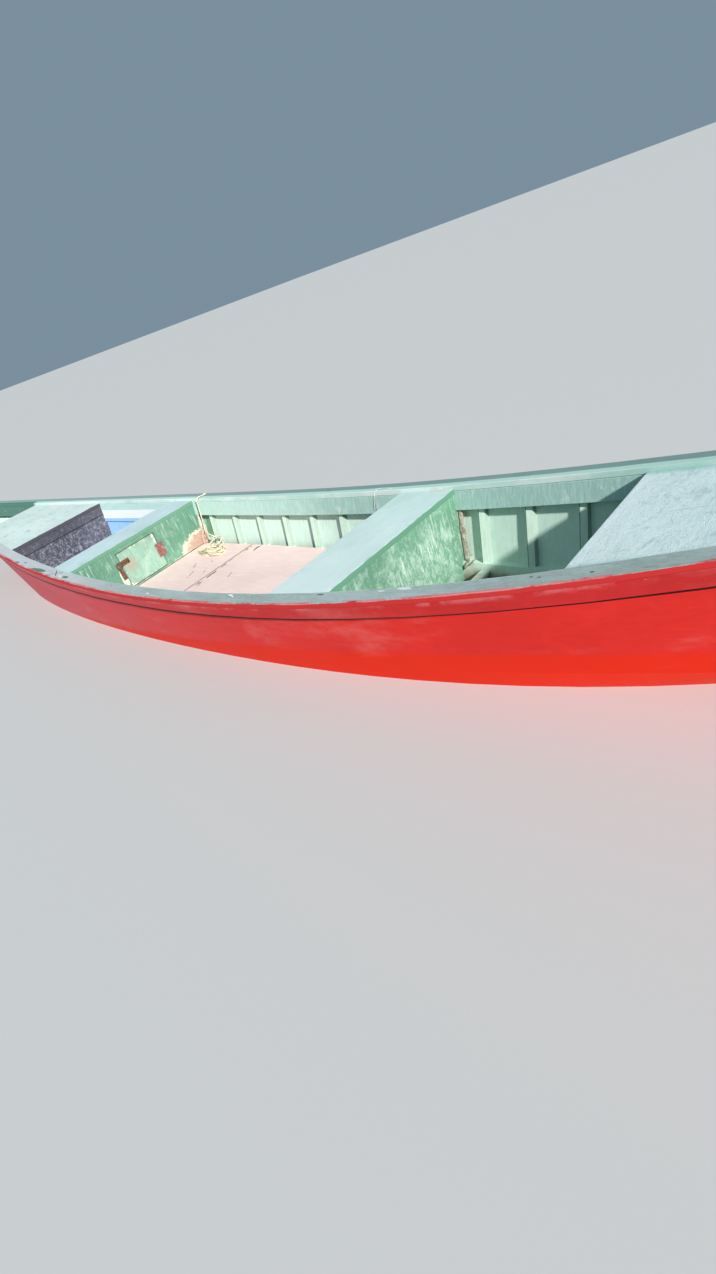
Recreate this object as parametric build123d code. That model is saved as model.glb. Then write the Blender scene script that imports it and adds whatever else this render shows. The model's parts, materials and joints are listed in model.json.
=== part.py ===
from build123d import *
from math import cos, pi, sin
import os

os.makedirs("parts", exist_ok=True)

# A double-ended marsh boat of the balam kind, in millimetres.
# +X is the bow, +Y is port, +Z is up. Z = 0 is the underside of the flat bottom amidships,
# and the origin is under the middle of the boat's box.

# Lengthwise lines of the hull: the sheer is the gunwale's outer top edge, the chine and the bottom edge
# are on the outside of the planking. Each end gives where the line lands on its stem.
SHEER_HALF_BEAM = 661
SHEER_HEIGHT = 472
CHINE_HALF_BEAM = 565
CHINE_HEIGHT = 80
BOTTOM_HALF_WIDTH = 538
SHEER_BOW_X = 4330
SHEER_BOW_HEIGHT = 935
SHEER_STERN_X = 4321
SHEER_STERN_HEIGHT = 735
CHINE_BOW_X = 3700
CHINE_BOW_HEIGHT = 253
CHINE_STERN_X = 3640
CHINE_STERN_HEIGHT = 335
BOTTOM_BOW_X = 2980
BOTTOM_BOW_HEIGHT = 20
BOTTOM_STERN_X = 2940
BOTTOM_STERN_HEIGHT = 50
# columns: x of the end, height of the end, fullness in plan (power), fullness of the rise (power)
SHEER_ENDS = {"bow": (SHEER_BOW_X, SHEER_BOW_HEIGHT, 2.2, 2.1),
              "stern": (SHEER_STERN_X, SHEER_STERN_HEIGHT, 1.9, 1.9)}
CHINE_ENDS = {"bow": (CHINE_BOW_X, CHINE_BOW_HEIGHT, 2.25, 1.22),
              "stern": (CHINE_STERN_X, CHINE_STERN_HEIGHT, 2.3, 3.0)}
BOTTOM_ENDS = {"bow": (BOTTOM_BOW_X, BOTTOM_BOW_HEIGHT, 2.8, 5.0),
               "stern": (BOTTOM_STERN_X, BOTTOM_STERN_HEIGHT, 3.65, 5.0)}
STATIONS = 28
SHORTEST_STATION = 0.01    # least share of the half length between two stations
FLATNESS = 1e-6            # a face whose fourth corner is this close to the plane of the others is flat

# Planking and stems
PLANK = 22                 # thickness of the sides, measured level
BILGE_PLANK = 60           # the bilge strakes are heavy chine logs, measured level too
BOTTOM_PLANK = 24
CENTRE_GAP = 1             # half gap where port and starboard pieces meet at the ends
BOTTOM_REACH = 0.978       # share of the half length over which the bilge strakes leave room between them
STEM_HALF_GAP = 26         # half the space between the two sides where they land on a stem
STEM_DEPTH = 70            # fore and aft at the gunwale
STEM_KNEE_DEPTH = 110      # fore and aft at the chine
STEM_FOOT_DEPTH = 200      # fore and aft at the bottom, where the stem lies nearly flat
STEM_NOSE_HALF = 20
STEM_RAIL_TAPER = 30       # height over which a stem widens to take the rubbing strakes
STEM_HEAD = 45             # how far the stem stands above the gunwale

# Gunwale: cap on top, rubbing strake outside, inwale inside
CAP_WIDTH = 92
CAP_THICKNESS = 28
RUB_THICKNESS = 18
RUB_DROP = 84              # lower edge of the rubbing strake below the gunwale's top, amidships and aft
RUB_BOW_GAIN = 28          # the strake widens by this much up to the bow's stem
INWALE_THICKNESS = 22
INWALE_DROP = 129
INWALE_REACH = 0.93        # share of the half length over which the inwales run
DECK_REACH = 0.965         # share of the half length over which the caps leave room between them

# Ribs and floor timbers
RIB_PITCH = 275.5
RIB_START_AFT = -430       # after face of one rib of the run abaft the box thwart
RIB_START_FORE = 1728      # the same for the run before it
RIB_CLEARANCE = 4          # least gap between a rib and a bulkhead
RIB_WIDTH = 58
RIB_FACE = 36              # width of a rib's inner face, after its bevels
TIMBER_TOP = 120           # height of the floor timbers' upper faces
TIMBER_BEVEL = 6
TIMBER_REACH = 0.95        # share of the bottom's half length that has floor timbers
LIMBER_WIDTH = 40          # notch on the middle line that lets water past a timber
LIMBER_HEIGHT = 16

# Stations of the decks, thwarts and bulkheads
STERN_BAY_AFT = -3300      # no rib stands abaft this
PLATFORM_AFT = -3020
PLATFORM_FORE = -2057
LOCKER_AFT = -1085
LOCKER_FORE = -810
THWART_AFT = 1250
THWART_FORE = 1619
FOREDECK_AFT = 2594
FOREDECK_FORE = 4150
STERN_DECK_FORE = -3640
STERN_DECK_AFT = -4130
DECK_DROP = 14             # deck tops below the gunwale's top
DECK_THICKNESS = 28
DECK_ZONE_ABOVE = 60       # every deck lies between this far above the gunwale's top
DECK_ZONE_BELOW = 150      # and this far below it
BULKHEAD = 20
FACE_SETBACK = 3           # bulkhead faces behind the edge of the plank above

# Floor panels and the well's lining
PANEL = 18
PLANK_STEP = 260           # longest straight stretch of a curved board's edge
PANEL_SEAM_X = -235
PANEL_SEAM = 3
PANEL_END_GAP = 4
PANEL_SIDE_GAP = 16         # from the ribs' inner faces
SLOT_X = -133
SLOT_WIDTH = 22
SLOT_LENGTH = 92
LINING = 10
LINING_STRIP = 55          # height of the pale strip along the lining's top
LINING_STRIP_THICKNESS = 14
LINING_REACH = (-0.62, -0.2)  # share of the half length, more than the well, before the ends are cut square

# Locker door in the forward face of the locker
DOOR_NEAR = -190
DOOR_FAR = 130
DOOR_SILL = 17             # the door's lower edge above the floor panels
DOOR_HEAD = 31             # its upper edge below the locker's top plank
DOOR_THICKNESS = 12
DOOR_GAP = 5
DOOR_LIP = 10
DOOR_LIP_THICKNESS = 3

# Hinge, hasp and staple of the door
HINGE_HEIGHT = 100
HINGE_DROP = 4.5           # the hinge's middle below the door's
HINGE_LEAF = 26
HINGE_PLATE = 2.5
HINGE_PIN = 3              # radius
HINGE_BARREL = 6           # radius
HINGE_KNUCKLES = 5
HINGE_PLAY = 0.3
HASP_DEPTH = 75            # middle of the hasp below the door's upper edge
HASP_HEIGHT = 38
HASP_PLATE = 3
HASP_ON_DOOR = 68
HASP_PAST_DOOR = 44
STAPLE_WIRE = 4
STAPLE_FACETS = 8          # hammered wire, with flats along it
STAPLE_HEIGHT = 14
STAPLE_REACH = 16
STAPLE_CLEARANCE = 5
STAPLE_PLATE_DROP = 88
STAPLE_PLATE_WIDTH = 30

# Rope: a lead from the port gunwale to a loose heap on the floor
ROPE_DIAMETER = 8
HEAP_CENTRE = (-545, 382)
HEAP_RADII = (205, 100)
HEAP_HEIGHT = 72
HEAP_SIDES = 20
HEAP_SLOPE = [(0, 1.0), (0.45, 0.96), (1, 0.55)]   # columns: share of the height, share of the radii
HEAP_SINK = 12             # the lead's end is buried this deep in the heap
KNOT_X = -700
KNOT_Y = 575
KNOT_LENGTH = 34
KNOT_DIAMETER = 22
KNOT_ROUNDING = 0.2        # chamfer of the knot's edges as a share of its diameter
ROPE_GAP = 0.3             # between the knot and the cap that it lies on

# Fitting
CUT_MARGIN = 8             # how far a cut runs past the face that it opens
BLANK_MARGIN = 14          # blanks are this much too wide before they are trimmed to the planking

COCKPIT_EDGE = RUB_THICKNESS + PLANK      # inset of the sides' inner faces from the gunwale's edge
RIB_DEPTH = CAP_WIDTH - INWALE_THICKNESS - COCKPIT_EDGE
FLOOR_TOP = TIMBER_TOP + PANEL


def line_at(ends, half_mid, height_mid, end_half, t):
    """Point of a lengthwise line, t from -1 on the stern's stem to +1 on the bow's."""
    end_x, end_z, plan_power, rise_power = ends["bow" if t >= 0 else "stern"]
    reach = abs(t)
    y = end_half + (half_mid - end_half) * (1 - reach ** plan_power)
    z = height_mid + (end_z - height_mid) * reach ** rise_power
    return Vector(t * end_x, y, z)


def sheer_at(t):
    return line_at(SHEER_ENDS, SHEER_HALF_BEAM, SHEER_HEIGHT, STEM_HALF_GAP + PLANK + RUB_THICKNESS, t)


def chine_at(t):
    return line_at(CHINE_ENDS, CHINE_HALF_BEAM, CHINE_HEIGHT, STEM_HALF_GAP + PLANK, t)


def bottom_at(t):
    return line_at(BOTTOM_ENDS, BOTTOM_HALF_WIDTH, 0, STEM_HALF_GAP + PLANK, t)


def station_t(ends, x):
    return x / ends["bow" if x >= 0 else "stern"][0]


def side_point(t, inset, depth=None):
    """Point of the topside: inset from the gunwale's outer face, depth below its top (None: chine)."""
    top, low = sheer_at(t), chine_at(t) + Vector(0, RUB_THICKNESS, 0)
    share = 1 if depth is None else depth / (top.Z - low.Z)
    return top + (low - top) * share - Vector(0, inset, 0)


def bilge_point(t, inset, share):
    """Point of the bilge strake: share 0 at the chine, 1 at the bottom edge."""
    top, low = chine_at(t), bottom_at(t)
    return top + (low - top) * share - Vector(0, inset, 0)


def off_centre(point):
    """The point, held clear of the boat's middle plane."""
    return Vector(point.X, max(point.Y, CENTRE_GAP), point.Z)


def floor_corner(t):
    """Where the bottom's upper face meets the bilge strake's inner face."""
    rise = chine_at(t).Z - bottom_at(t).Z
    return off_centre(bilge_point(t, BILGE_PLANK, 1 - BOTTOM_PLANK / rise))


def station_list(t_low=-1.0, t_high=1.0):
    """Evenly spaced stations, with those where some lengthwise piece ends in place of their neighbours."""
    ends = [side * reach for side in (-1, 1) for reach in (INWALE_REACH, DECK_REACH, BOTTOM_REACH, 1.0)]
    even = [-1 + 2 * i / STATIONS for i in range(STATIONS + 1)]
    stations = sorted(ends + [t for t in even if all(abs(t - end) > SHORTEST_STATION for end in ends)])
    return [t_low] + [t for t in stations if t_low < t < t_high] + [t_high]


def mirrored(point):
    return Vector(point.X, -point.Y, point.Z)


def ruled_face(a, b, c, d):
    """Face on four corners: a plane where they lie in one, or else straight rulings from a-b to d-c."""
    if abs((b - a).cross(d - a).normalized().dot(c - a)) < FLATNESS:
        return Face(Wire.make_polygon([a, b, c, d], close=True))
    return Face.make_surface_from_curves(Edge.make_line(a, b), Edge.make_line(d, c))


def ruled(sections):
    """Solid with straight rulings through a list of flat polygons."""
    faces = [Face(Wire.make_polygon(sections[end], close=True)) for end in (0, -1)]
    for near, far in zip(sections, sections[1:]):
        turned = near[1:] + near[:1], far[1:] + far[:1]
        faces += [ruled_face(a, b, c, d) for a, b, c, d in zip(near, turned[0], turned[1], far)]
    return Solid(Shell(faces))


def side_strip(inset_out, inset_in, depth_top, depth_low, t_low=-1.0, t_high=1.0):
    """Lengthwise piece on the port side between two insets and two depths; the lower may depend on t."""
    sections = []
    for t in station_list(t_low, t_high):
        low = depth_low(t) if callable(depth_low) else depth_low
        corners = [side_point(t, inset_out, depth_top), side_point(t, inset_out, low),
                   side_point(t, inset_in, low), side_point(t, inset_in, depth_top)]
        sections.append([off_centre(p) for p in corners])
    return ruled(sections)


def across(points_at, t_low=-1.0, t_high=1.0):
    """Solid across the whole boat from a function that gives the port side's upper and lower corner."""
    sections = []
    for t in station_list(t_low, t_high):
        upper, lower = points_at(t)
        sections.append([upper, lower, mirrored(lower), mirrored(upper)])
    return ruled(sections)


def starboard(part):
    return mirror(part, about=Plane.XZ)


def save(node, *solids):
    shape = solids[0] if len(solids) == 1 else Compound(children=list(solids))
    export_step(shape, f"parts/{node}.step")


def flat_list(shape):
    return list(shape.solids())


def rub_depth(t):
    return RUB_DROP + RUB_BOW_GAIN * max(t, 0)


# Hull planking. Corners where another piece ends against a plank are corners of the plank too,
# so that the twisted faces of both are the same surface.
topside = ruled([[side_point(t, RUB_THICKNESS, CAP_THICKNESS), side_point(t, RUB_THICKNESS, rub_depth(t)),
                  side_point(t, RUB_THICKNESS), side_point(t, COCKPIT_EDGE),
                  side_point(t, COCKPIT_EDGE, CAP_THICKNESS)] for t in station_list()])
bilge = ruled([[bilge_point(t, 0, 0), bilge_point(t, 0, 1), off_centre(bilge_point(t, BILGE_PLANK, 1)),
                floor_corner(t), off_centre(bilge_point(t, BILGE_PLANK, 0))] for t in station_list()])
bottom = across(lambda t: (floor_corner(t), off_centre(bilge_point(t, BILGE_PLANK, 1))),
                -BOTTOM_REACH, BOTTOM_REACH)
save("topside_port", topside)
save("topside_starboard", starboard(topside))
save("bilge_strake_port", bilge)
save("bilge_strake_starboard", starboard(bilge))
save("bottom_planking", bottom)

# Space inside the planking, and the narrower space between the inwales, for fitting what goes across
upper_space = across(lambda t: (side_point(t, COCKPIT_EDGE, CAP_THICKNESS), side_point(t, COCKPIT_EDGE)))
lower_space = across(lambda t: (off_centre(bilge_point(t, BILGE_PLANK, 0)), floor_corner(t)))
inside = upper_space + lower_space
between_caps = across(lambda t: [side_point(t, CAP_WIDTH, -DECK_ZONE_ABOVE),
                                 side_point(t, CAP_WIDTH, DECK_ZONE_BELOW)], -DECK_REACH, DECK_REACH)


# Stems: their after faces take the ends of the planking, their noses are thinner
def stem(t):
    outward = 1 if t > 0 else -1
    back_half = STEM_HALF_GAP + PLANK
    rail_half = back_half + RUB_THICKNESS
    # columns: point on the after face, half width there, depth fore and aft
    levels = [(bottom_at(t), back_half, STEM_FOOT_DEPTH), (chine_at(t), back_half, STEM_KNEE_DEPTH),
              (side_point(t, 0, rub_depth(t) + STEM_RAIL_TAPER), back_half, STEM_DEPTH),
              (side_point(t, 0, rub_depth(t)), rail_half, STEM_DEPTH),
              (side_point(t, 0, -STEM_HEAD), rail_half, STEM_DEPTH)]
    sections = []
    for point, half, depth in levels:
        nose_x = point.X + outward * depth
        sections.append([Vector(point.X, half, point.Z), Vector(point.X, -half, point.Z),
                         Vector(nose_x, -STEM_NOSE_HALF, point.Z), Vector(nose_x, STEM_NOSE_HALF, point.Z)])
    return ruled(sections)


save("stem_bow", stem(1.0))
save("stem_stern", stem(-1.0))

# Gunwales
cap = side_strip(0, CAP_WIDTH, 0, CAP_THICKNESS)
rub = side_strip(0, RUB_THICKNESS, CAP_THICKNESS, rub_depth)
inwale = side_strip(CAP_WIDTH - INWALE_THICKNESS, CAP_WIDTH, CAP_THICKNESS, INWALE_DROP,
                    -INWALE_REACH, INWALE_REACH)
for name, piece in (("gunwale_cap", cap), ("rubbing_strake", rub), ("inwale", inwale)):
    save(f"{name}_port", piece)
    save(f"{name}_starboard", starboard(piece))
rail_zone = side_strip(COCKPIT_EDGE - CUT_MARGIN, CAP_WIDTH, 0, INWALE_DROP, -DECK_REACH, DECK_REACH)


def side_y(x, z):
    """Half width inside the planking at a station and a height."""
    top = side_point(station_t(SHEER_ENDS, x), COCKPIT_EDGE, CAP_THICKNESS)
    knee = chine_at(station_t(CHINE_ENDS, x))
    foot = bottom_at(station_t(BOTTOM_ENDS, x))
    if z >= knee.Z:
        high, low = top, knee - Vector(0, PLANK, 0)
    else:
        high, low = knee - Vector(0, BILGE_PLANK, 0), foot - Vector(0, BILGE_PLANK, 0)
    return low.Y + (high.Y - low.Y) * (z - low.Z) / (high.Z - low.Z)


def gunwale_z(x):
    return sheer_at(station_t(SHEER_ENDS, x)).Z


def chine_z(x):
    return chine_at(station_t(CHINE_ENDS, x)).Z


def bottom_z(x):
    return bottom_at(station_t(BOTTOM_ENDS, x)).Z


# Ribs: one solid each, hat-shaped, standing on the floor timbers, in the bays between the bulkheads
# columns: after end, fore end, after face of one rib of the run that the bay belongs to
BAYS = [(STERN_BAY_AFT, PLATFORM_AFT, RIB_START_AFT), (PLATFORM_FORE, LOCKER_AFT, RIB_START_AFT),
        (LOCKER_AFT + BULKHEAD, LOCKER_FORE - BULKHEAD, RIB_START_AFT),
        (LOCKER_FORE, THWART_AFT, RIB_START_AFT), (THWART_FORE, FOREDECK_AFT, RIB_START_FORE)]
RIB_COUNT = round(2 * SHEER_BOW_X / RIB_PITCH)
rib_places = [start + RIB_PITCH * n for low, high, start in BAYS for n in range(-RIB_COUNT, RIB_COUNT)
              if low + RIB_CLEARANCE < start + RIB_PITCH * n < high - RIB_WIDTH - RIB_CLEARANCE]


def rib_blank(x):
    bevel = (RIB_WIDTH - RIB_FACE) / 2
    middle = x + RIB_WIDTH / 2
    sections = []
    for z in (gunwale_z(middle), max(chine_z(middle), TIMBER_TOP)):
        y = side_y(middle, z)
        sections.append([Vector(x, y + BLANK_MARGIN, z), Vector(x + RIB_WIDTH, y + BLANK_MARGIN, z),
                         Vector(x + RIB_WIDTH - bevel, y - RIB_DEPTH, z), Vector(x + bevel, y - RIB_DEPTH, z)])
    return ruled(sections)


# Lining of the well, with a pale strip along its top
LINING_FACE = COCKPIT_EDGE + RIB_DEPTH
WELL_AFT = PLATFORM_FORE - FACE_SETBACK
WELL_FORE = LOCKER_AFT + FACE_SETBACK
well_span = Box(WELL_FORE - WELL_AFT, 2 * SHEER_HALF_BEAM, 2 * SHEER_HEIGHT).translate(
    Vector((WELL_FORE + WELL_AFT) / 2, 0, TIMBER_TOP + SHEER_HEIGHT))
lining = side_strip(LINING_FACE, LINING_FACE + LINING, INWALE_DROP, None, *LINING_REACH) & well_span
strip = side_strip(LINING_FACE + LINING, LINING_FACE + LINING + LINING_STRIP_THICKNESS, INWALE_DROP,
                   INWALE_DROP + LINING_STRIP, *LINING_REACH) & well_span

ribs = [(rib_blank(x) & inside) - inwale - lining for x in rib_places]
save("ribs_port", *[s for r in ribs for s in flat_list(r)])
save("ribs_starboard", *[s for r in ribs for s in flat_list(starboard(r))])
save("well_lining", *flat_list(lining), *flat_list(starboard(lining)))
save("well_lining_strip", *flat_list(strip), *flat_list(starboard(strip)))


def timber(x):
    z_low = bottom_z(x)
    outline = [(x, z_low), (x + RIB_WIDTH, z_low), (x + RIB_WIDTH, TIMBER_TOP - 2 * TIMBER_BEVEL),
               (x + RIB_WIDTH - TIMBER_BEVEL, TIMBER_TOP), (x + TIMBER_BEVEL, TIMBER_TOP),
               (x, TIMBER_TOP - 2 * TIMBER_BEVEL)]
    bar = extrude(make_face(Plane.XZ * Polyline(*outline, close=True)), SHEER_HALF_BEAM, both=True)
    notch = Box(4 * RIB_WIDTH, LIMBER_WIDTH, 2 * LIMBER_HEIGHT)
    return (bar & inside) - notch.translate(Vector(x, 0, z_low + BOTTOM_PLANK))


timber_places = [x for x in rib_places if abs(station_t(BOTTOM_ENDS, x)) < TIMBER_REACH]
save("floor_timbers", *[s for x in timber_places for s in flat_list(timber(x))])


def plank_across(x_low, x_high, half_width, top, thickness):
    """Flat piece whose half width and height are functions of x."""
    count = max(1, round((x_high - x_low) / PLANK_STEP))
    sections = []
    for i in range(count + 1):
        x = x_low + (x_high - x_low) * i / count
        w, z = half_width(x), top(x)
        sections.append([Vector(x, w, z), Vector(x, w, z - thickness),
                         Vector(x, -w, z - thickness), Vector(x, -w, z)])
    return ruled(sections)


def deck_top(x):
    return gunwale_z(x) - DECK_DROP


def deck(x_low, x_high):
    wide = plank_across(x_low, x_high, lambda x: sheer_at(station_t(SHEER_ENDS, x)).Y, deck_top, DECK_THICKNESS)
    return wide & between_caps


def bulkhead(x_low):
    """Athwartships wall under the deck planks, notched round the inwales."""
    sections = []
    for x in (x_low, x_low + BULKHEAD):
        z_top, y = deck_top(x) - DECK_THICKNESS, sheer_at(station_t(SHEER_ENDS, x)).Y
        sections.append([Vector(x, y, z_top), Vector(x, y, bottom_z(x)),
                         Vector(x, -y, bottom_z(x)), Vector(x, -y, z_top)])
    return (ruled(sections) & inside) - rail_zone - starboard(rail_zone)


save("aft_platform", deck(PLATFORM_AFT, PLATFORM_FORE))
save("locker_top", deck(LOCKER_AFT, LOCKER_FORE))
save("box_thwart_top", deck(THWART_AFT, THWART_FORE))
save("foredeck", deck(FOREDECK_AFT, FOREDECK_FORE))
save("stern_deck", deck(STERN_DECK_AFT, STERN_DECK_FORE))
save("bulkhead_platform", bulkhead(PLATFORM_AFT + FACE_SETBACK))
save("bulkhead_well", bulkhead(PLATFORM_FORE - FACE_SETBACK - BULKHEAD))
save("bulkhead_locker_aft", bulkhead(LOCKER_AFT + FACE_SETBACK))
save("box_thwart_aft_side", bulkhead(THWART_AFT + FACE_SETBACK))
save("box_thwart_fore_side", bulkhead(THWART_FORE - FACE_SETBACK - BULKHEAD))
save("bulkhead_foredeck", bulkhead(FOREDECK_AFT + FACE_SETBACK))

# Locker front with its rebated door opening
FRONT = LOCKER_FORE - FACE_SETBACK
door_low = FLOOR_TOP + DOOR_SILL
door_high = deck_top(LOCKER_FORE) - DECK_THICKNESS - DOOR_HEAD
door_width = DOOR_FAR - DOOR_NEAR
door_height = door_high - door_low
door_mid = Vector(FRONT, (DOOR_FAR + DOOR_NEAR) / 2, (door_high + door_low) / 2)
rebate_depth = BULKHEAD - DOOR_LIP_THICKNESS
rebate = Box(2 * rebate_depth, door_width + 2 * DOOR_GAP, door_height + 2 * DOOR_GAP).translate(door_mid)
through = Box(4 * BULKHEAD, door_width + 2 * (DOOR_GAP - DOOR_LIP),
              door_height + 2 * (DOOR_GAP - DOOR_LIP)).translate(door_mid)
save("bulkhead_locker_front", bulkhead(FRONT - BULKHEAD) - rebate - through)
save("locker_door", Box(DOOR_THICKNESS, door_width, door_height).translate(
    door_mid - Vector(DOOR_THICKNESS / 2, 0, 0)))

# Hinge on the port edge of the door
HINGE_X = FRONT + HINGE_BARREL + HINGE_PLAY
HINGE_Y = DOOR_FAR + DOOR_GAP / 2
HINGE_MID_Z = door_mid.Z - HINGE_DROP
barrel_step = HINGE_HEIGHT / HINGE_KNUCKLES


def hinge_leaf(side, first):
    """Leaf on one side of the pin (+1 port, -1 starboard) with every second knuckle."""
    near = HINGE_BARREL + 2 * HINGE_PLAY
    plate = Box(HINGE_PLATE, HINGE_LEAF, HINGE_HEIGHT).translate(
        Vector(FRONT + HINGE_PLATE / 2, HINGE_Y + side * (near + HINGE_LEAF / 2), HINGE_MID_Z))
    bore_radius = HINGE_PIN if side > 0 else HINGE_PIN + HINGE_PLAY
    leaf = plate
    for i in range(first, HINGE_KNUCKLES, 2):
        z = HINGE_MID_Z - HINGE_HEIGHT / 2 + barrel_step * (i + 0.5)
        height = barrel_step - HINGE_PLAY
        knuckle = Cylinder(HINGE_BARREL, height).translate(Vector(HINGE_X, HINGE_Y, z))
        web = Box(HINGE_PLATE, near, height).translate(
            Vector(FRONT + HINGE_PLATE / 2, HINGE_Y + side * near / 2, z))
        bore = Cylinder(bore_radius, HINGE_HEIGHT * 2).translate(Vector(HINGE_X, HINGE_Y, z))
        leaf = leaf + (knuckle + web - bore)
    return leaf


save("hinge_leaf_bulkhead", hinge_leaf(1, 0))
save("hinge_leaf_door", hinge_leaf(-1, 1))
save("hinge_pin", Cylinder(HINGE_PIN, HINGE_HEIGHT).translate(Vector(HINGE_X, HINGE_Y, HINGE_MID_Z)))

# Hasp on the door, its tail clear of the bulkhead, and the staple that it drops over
HASP_Z = door_high - HASP_DEPTH
tail_lift = DOOR_GAP
hasp_end = DOOR_NEAR - HASP_PAST_DOOR
joggle = DOOR_NEAR + HASP_PLATE
profile = [(FRONT, DOOR_NEAR + HASP_ON_DOOR), (FRONT, joggle), (FRONT + tail_lift, joggle - HASP_PLATE),
           (FRONT + tail_lift, hasp_end), (FRONT + tail_lift + HASP_PLATE, hasp_end),
           (FRONT + tail_lift + HASP_PLATE, joggle), (FRONT + HASP_PLATE, joggle + HASP_PLATE),
           (FRONT + HASP_PLATE, DOOR_NEAR + HASP_ON_DOOR)]
strap = extrude(make_face(Polyline(*profile, close=True)), HASP_HEIGHT / 2, both=True)
staple_y = DOOR_NEAR - HASP_PAST_DOOR / 2
slot = Box(2 * HASP_HEIGHT, STAPLE_WIRE + 2 * STAPLE_CLEARANCE, STAPLE_HEIGHT + 2 * STAPLE_CLEARANCE)
save("hasp", (strap - slot.translate(Vector(FRONT, staple_y, 0))).translate(Vector(0, 0, HASP_Z)))

leg = STAPLE_HEIGHT / 2 - STAPLE_WIRE / 2
bow_x = FRONT + STAPLE_REACH - STAPLE_WIRE / 2 - leg
staple_path = (Line((FRONT, staple_y, HASP_Z - leg), (bow_x, staple_y, HASP_Z - leg))
               + ThreePointArc((bow_x, staple_y, HASP_Z - leg), (bow_x + leg, staple_y, HASP_Z),
                               (bow_x, staple_y, HASP_Z + leg))
               + Line((bow_x, staple_y, HASP_Z + leg), (FRONT, staple_y, HASP_Z + leg)))
wire = sweep(Plane(origin=(FRONT, staple_y, HASP_Z - leg), z_dir=(1, 0, 0)) * RegularPolygon(
    STAPLE_WIRE / 2, STAPLE_FACETS), path=staple_path)
save("staple", wire)
plate_top = HASP_Z - HASP_HEIGHT / 2 - DOOR_GAP
save("staple_plate", Box(HASP_PLATE, STAPLE_PLATE_WIDTH, STAPLE_PLATE_DROP).translate(
    Vector(FRONT + HASP_PLATE / 2, staple_y, plate_top - STAPLE_PLATE_DROP / 2)))


# Floor panels on the timbers of the cockpit, and the floor of the well. A narrow margin board closes
# the fore panel's port side, and the finger slot parts it in two.
def panel_half(x):
    return side_y(x, FLOOR_TOP - PANEL) - RIB_DEPTH - PANEL_SIDE_GAP


def panel(x_low, x_high):
    return plank_across(x_low, x_high, panel_half, lambda x: FLOOR_TOP, PANEL)


slot_end = panel_half(SLOT_X) - SLOT_LENGTH
finger_slot = Box(SLOT_WIDTH, 2 * SLOT_LENGTH, 4 * PANEL).translate(
    Vector(SLOT_X, slot_end + SLOT_LENGTH, FLOOR_TOP))
margin_zone = Box(2 * SHEER_BOW_X, SHEER_HALF_BEAM, 4 * PANEL).translate(
    Vector(0, slot_end + SHEER_HALF_BEAM / 2, FLOOR_TOP))
panel_fore = panel(PANEL_SEAM_X + PANEL_SEAM / 2, THWART_AFT + FACE_SETBACK - PANEL_END_GAP)
save("floor_panel_aft", panel(FRONT + PANEL_END_GAP, PANEL_SEAM_X - PANEL_SEAM / 2))
save("floor_panel_fore", panel_fore - margin_zone)
save("floor_margin_fore", *flat_list((panel_fore & margin_zone) - finger_slot))
save("well_floor", panel(WELL_AFT + PANEL_END_GAP, WELL_FORE - PANEL_END_GAP))

# Rope: the lead's route from its knot on the cap, over the gunwale's edge and down to the heap
knot_z = gunwale_z(KNOT_X) + KNOT_DIAMETER / 2 + ROPE_GAP
LEAD = [(KNOT_X, KNOT_Y, knot_z), (-701, 546, knot_z + 6), (-705, 520, knot_z - 6), (-709, 509, 440),
        (-707, 500, 385), (-694, 481, 320), (-662, 442, 258), (-640, 420, FLOOR_TOP + HEAP_HEIGHT - HEAP_SINK)]


def corner_radii(points):
    """Largest arc that each corner's two runs allow."""
    spots = [Vector(*p) for p in points]
    radii = []
    for a, b, c in zip(spots, spots[1:], spots[2:]):
        turn = (b - a).get_angle(c - b)
        half_turn = Vector(1, 0, 0).rotate(Axis.Z, turn / 2)
        radii.append(0.45 * min((b - a).length, (c - b).length) * half_turn.X / half_turn.Y)
    return radii


radii = corner_radii(LEAD)
print("rope corner radii", [round(r, 1) for r in radii])
lead_path = FilletPolyline(*LEAD, radius=radii)
lead_start = Plane(origin=LEAD[0], z_dir=Vector(*LEAD[1]) - Vector(*LEAD[0]))
lead = sweep(lead_start * Circle(ROPE_DIAMETER / 2), path=lead_path)
print("rope lead length", round(lead_path.length, 1), "volume share",
      round(lead.volume / (lead_path.length * pi * (ROPE_DIAMETER / 2) ** 2), 4))
save("rope_lead", lead)
rounds = [2 * pi * i / HEAP_SIDES for i in range(HEAP_SIDES)]
save("rope_heap", ruled([[Vector(HEAP_CENTRE[0] + HEAP_RADII[0] * share * cos(a),
                                 HEAP_CENTRE[1] + HEAP_RADII[1] * share * sin(a),
                                 FLOOR_TOP + HEAP_HEIGHT * height) for a in rounds]
                         for height, share in HEAP_SLOPE]))
knot = Cylinder(KNOT_DIAMETER / 2, KNOT_LENGTH, rotation=(90, 0, 0))
save("rope_knot", chamfer(knot.edges(), KNOT_DIAMETER * KNOT_ROUNDING).translate(
    Vector(KNOT_X, KNOT_Y + KNOT_LENGTH / 2, knot_z)))
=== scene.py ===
# %% [markdown]
# # A marsh boat in worn paint
# The boat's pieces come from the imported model, which this script loads as a fixed frame. Here they get what
# a camera sees: softened edges, layers of brushed paint, chips and scuffs, torn glass tape, and real rope.

# %% Load the frame
import bmesh
import bpy
import json
import math
import random
from mathutils import Matrix, Vector, noise

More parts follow.
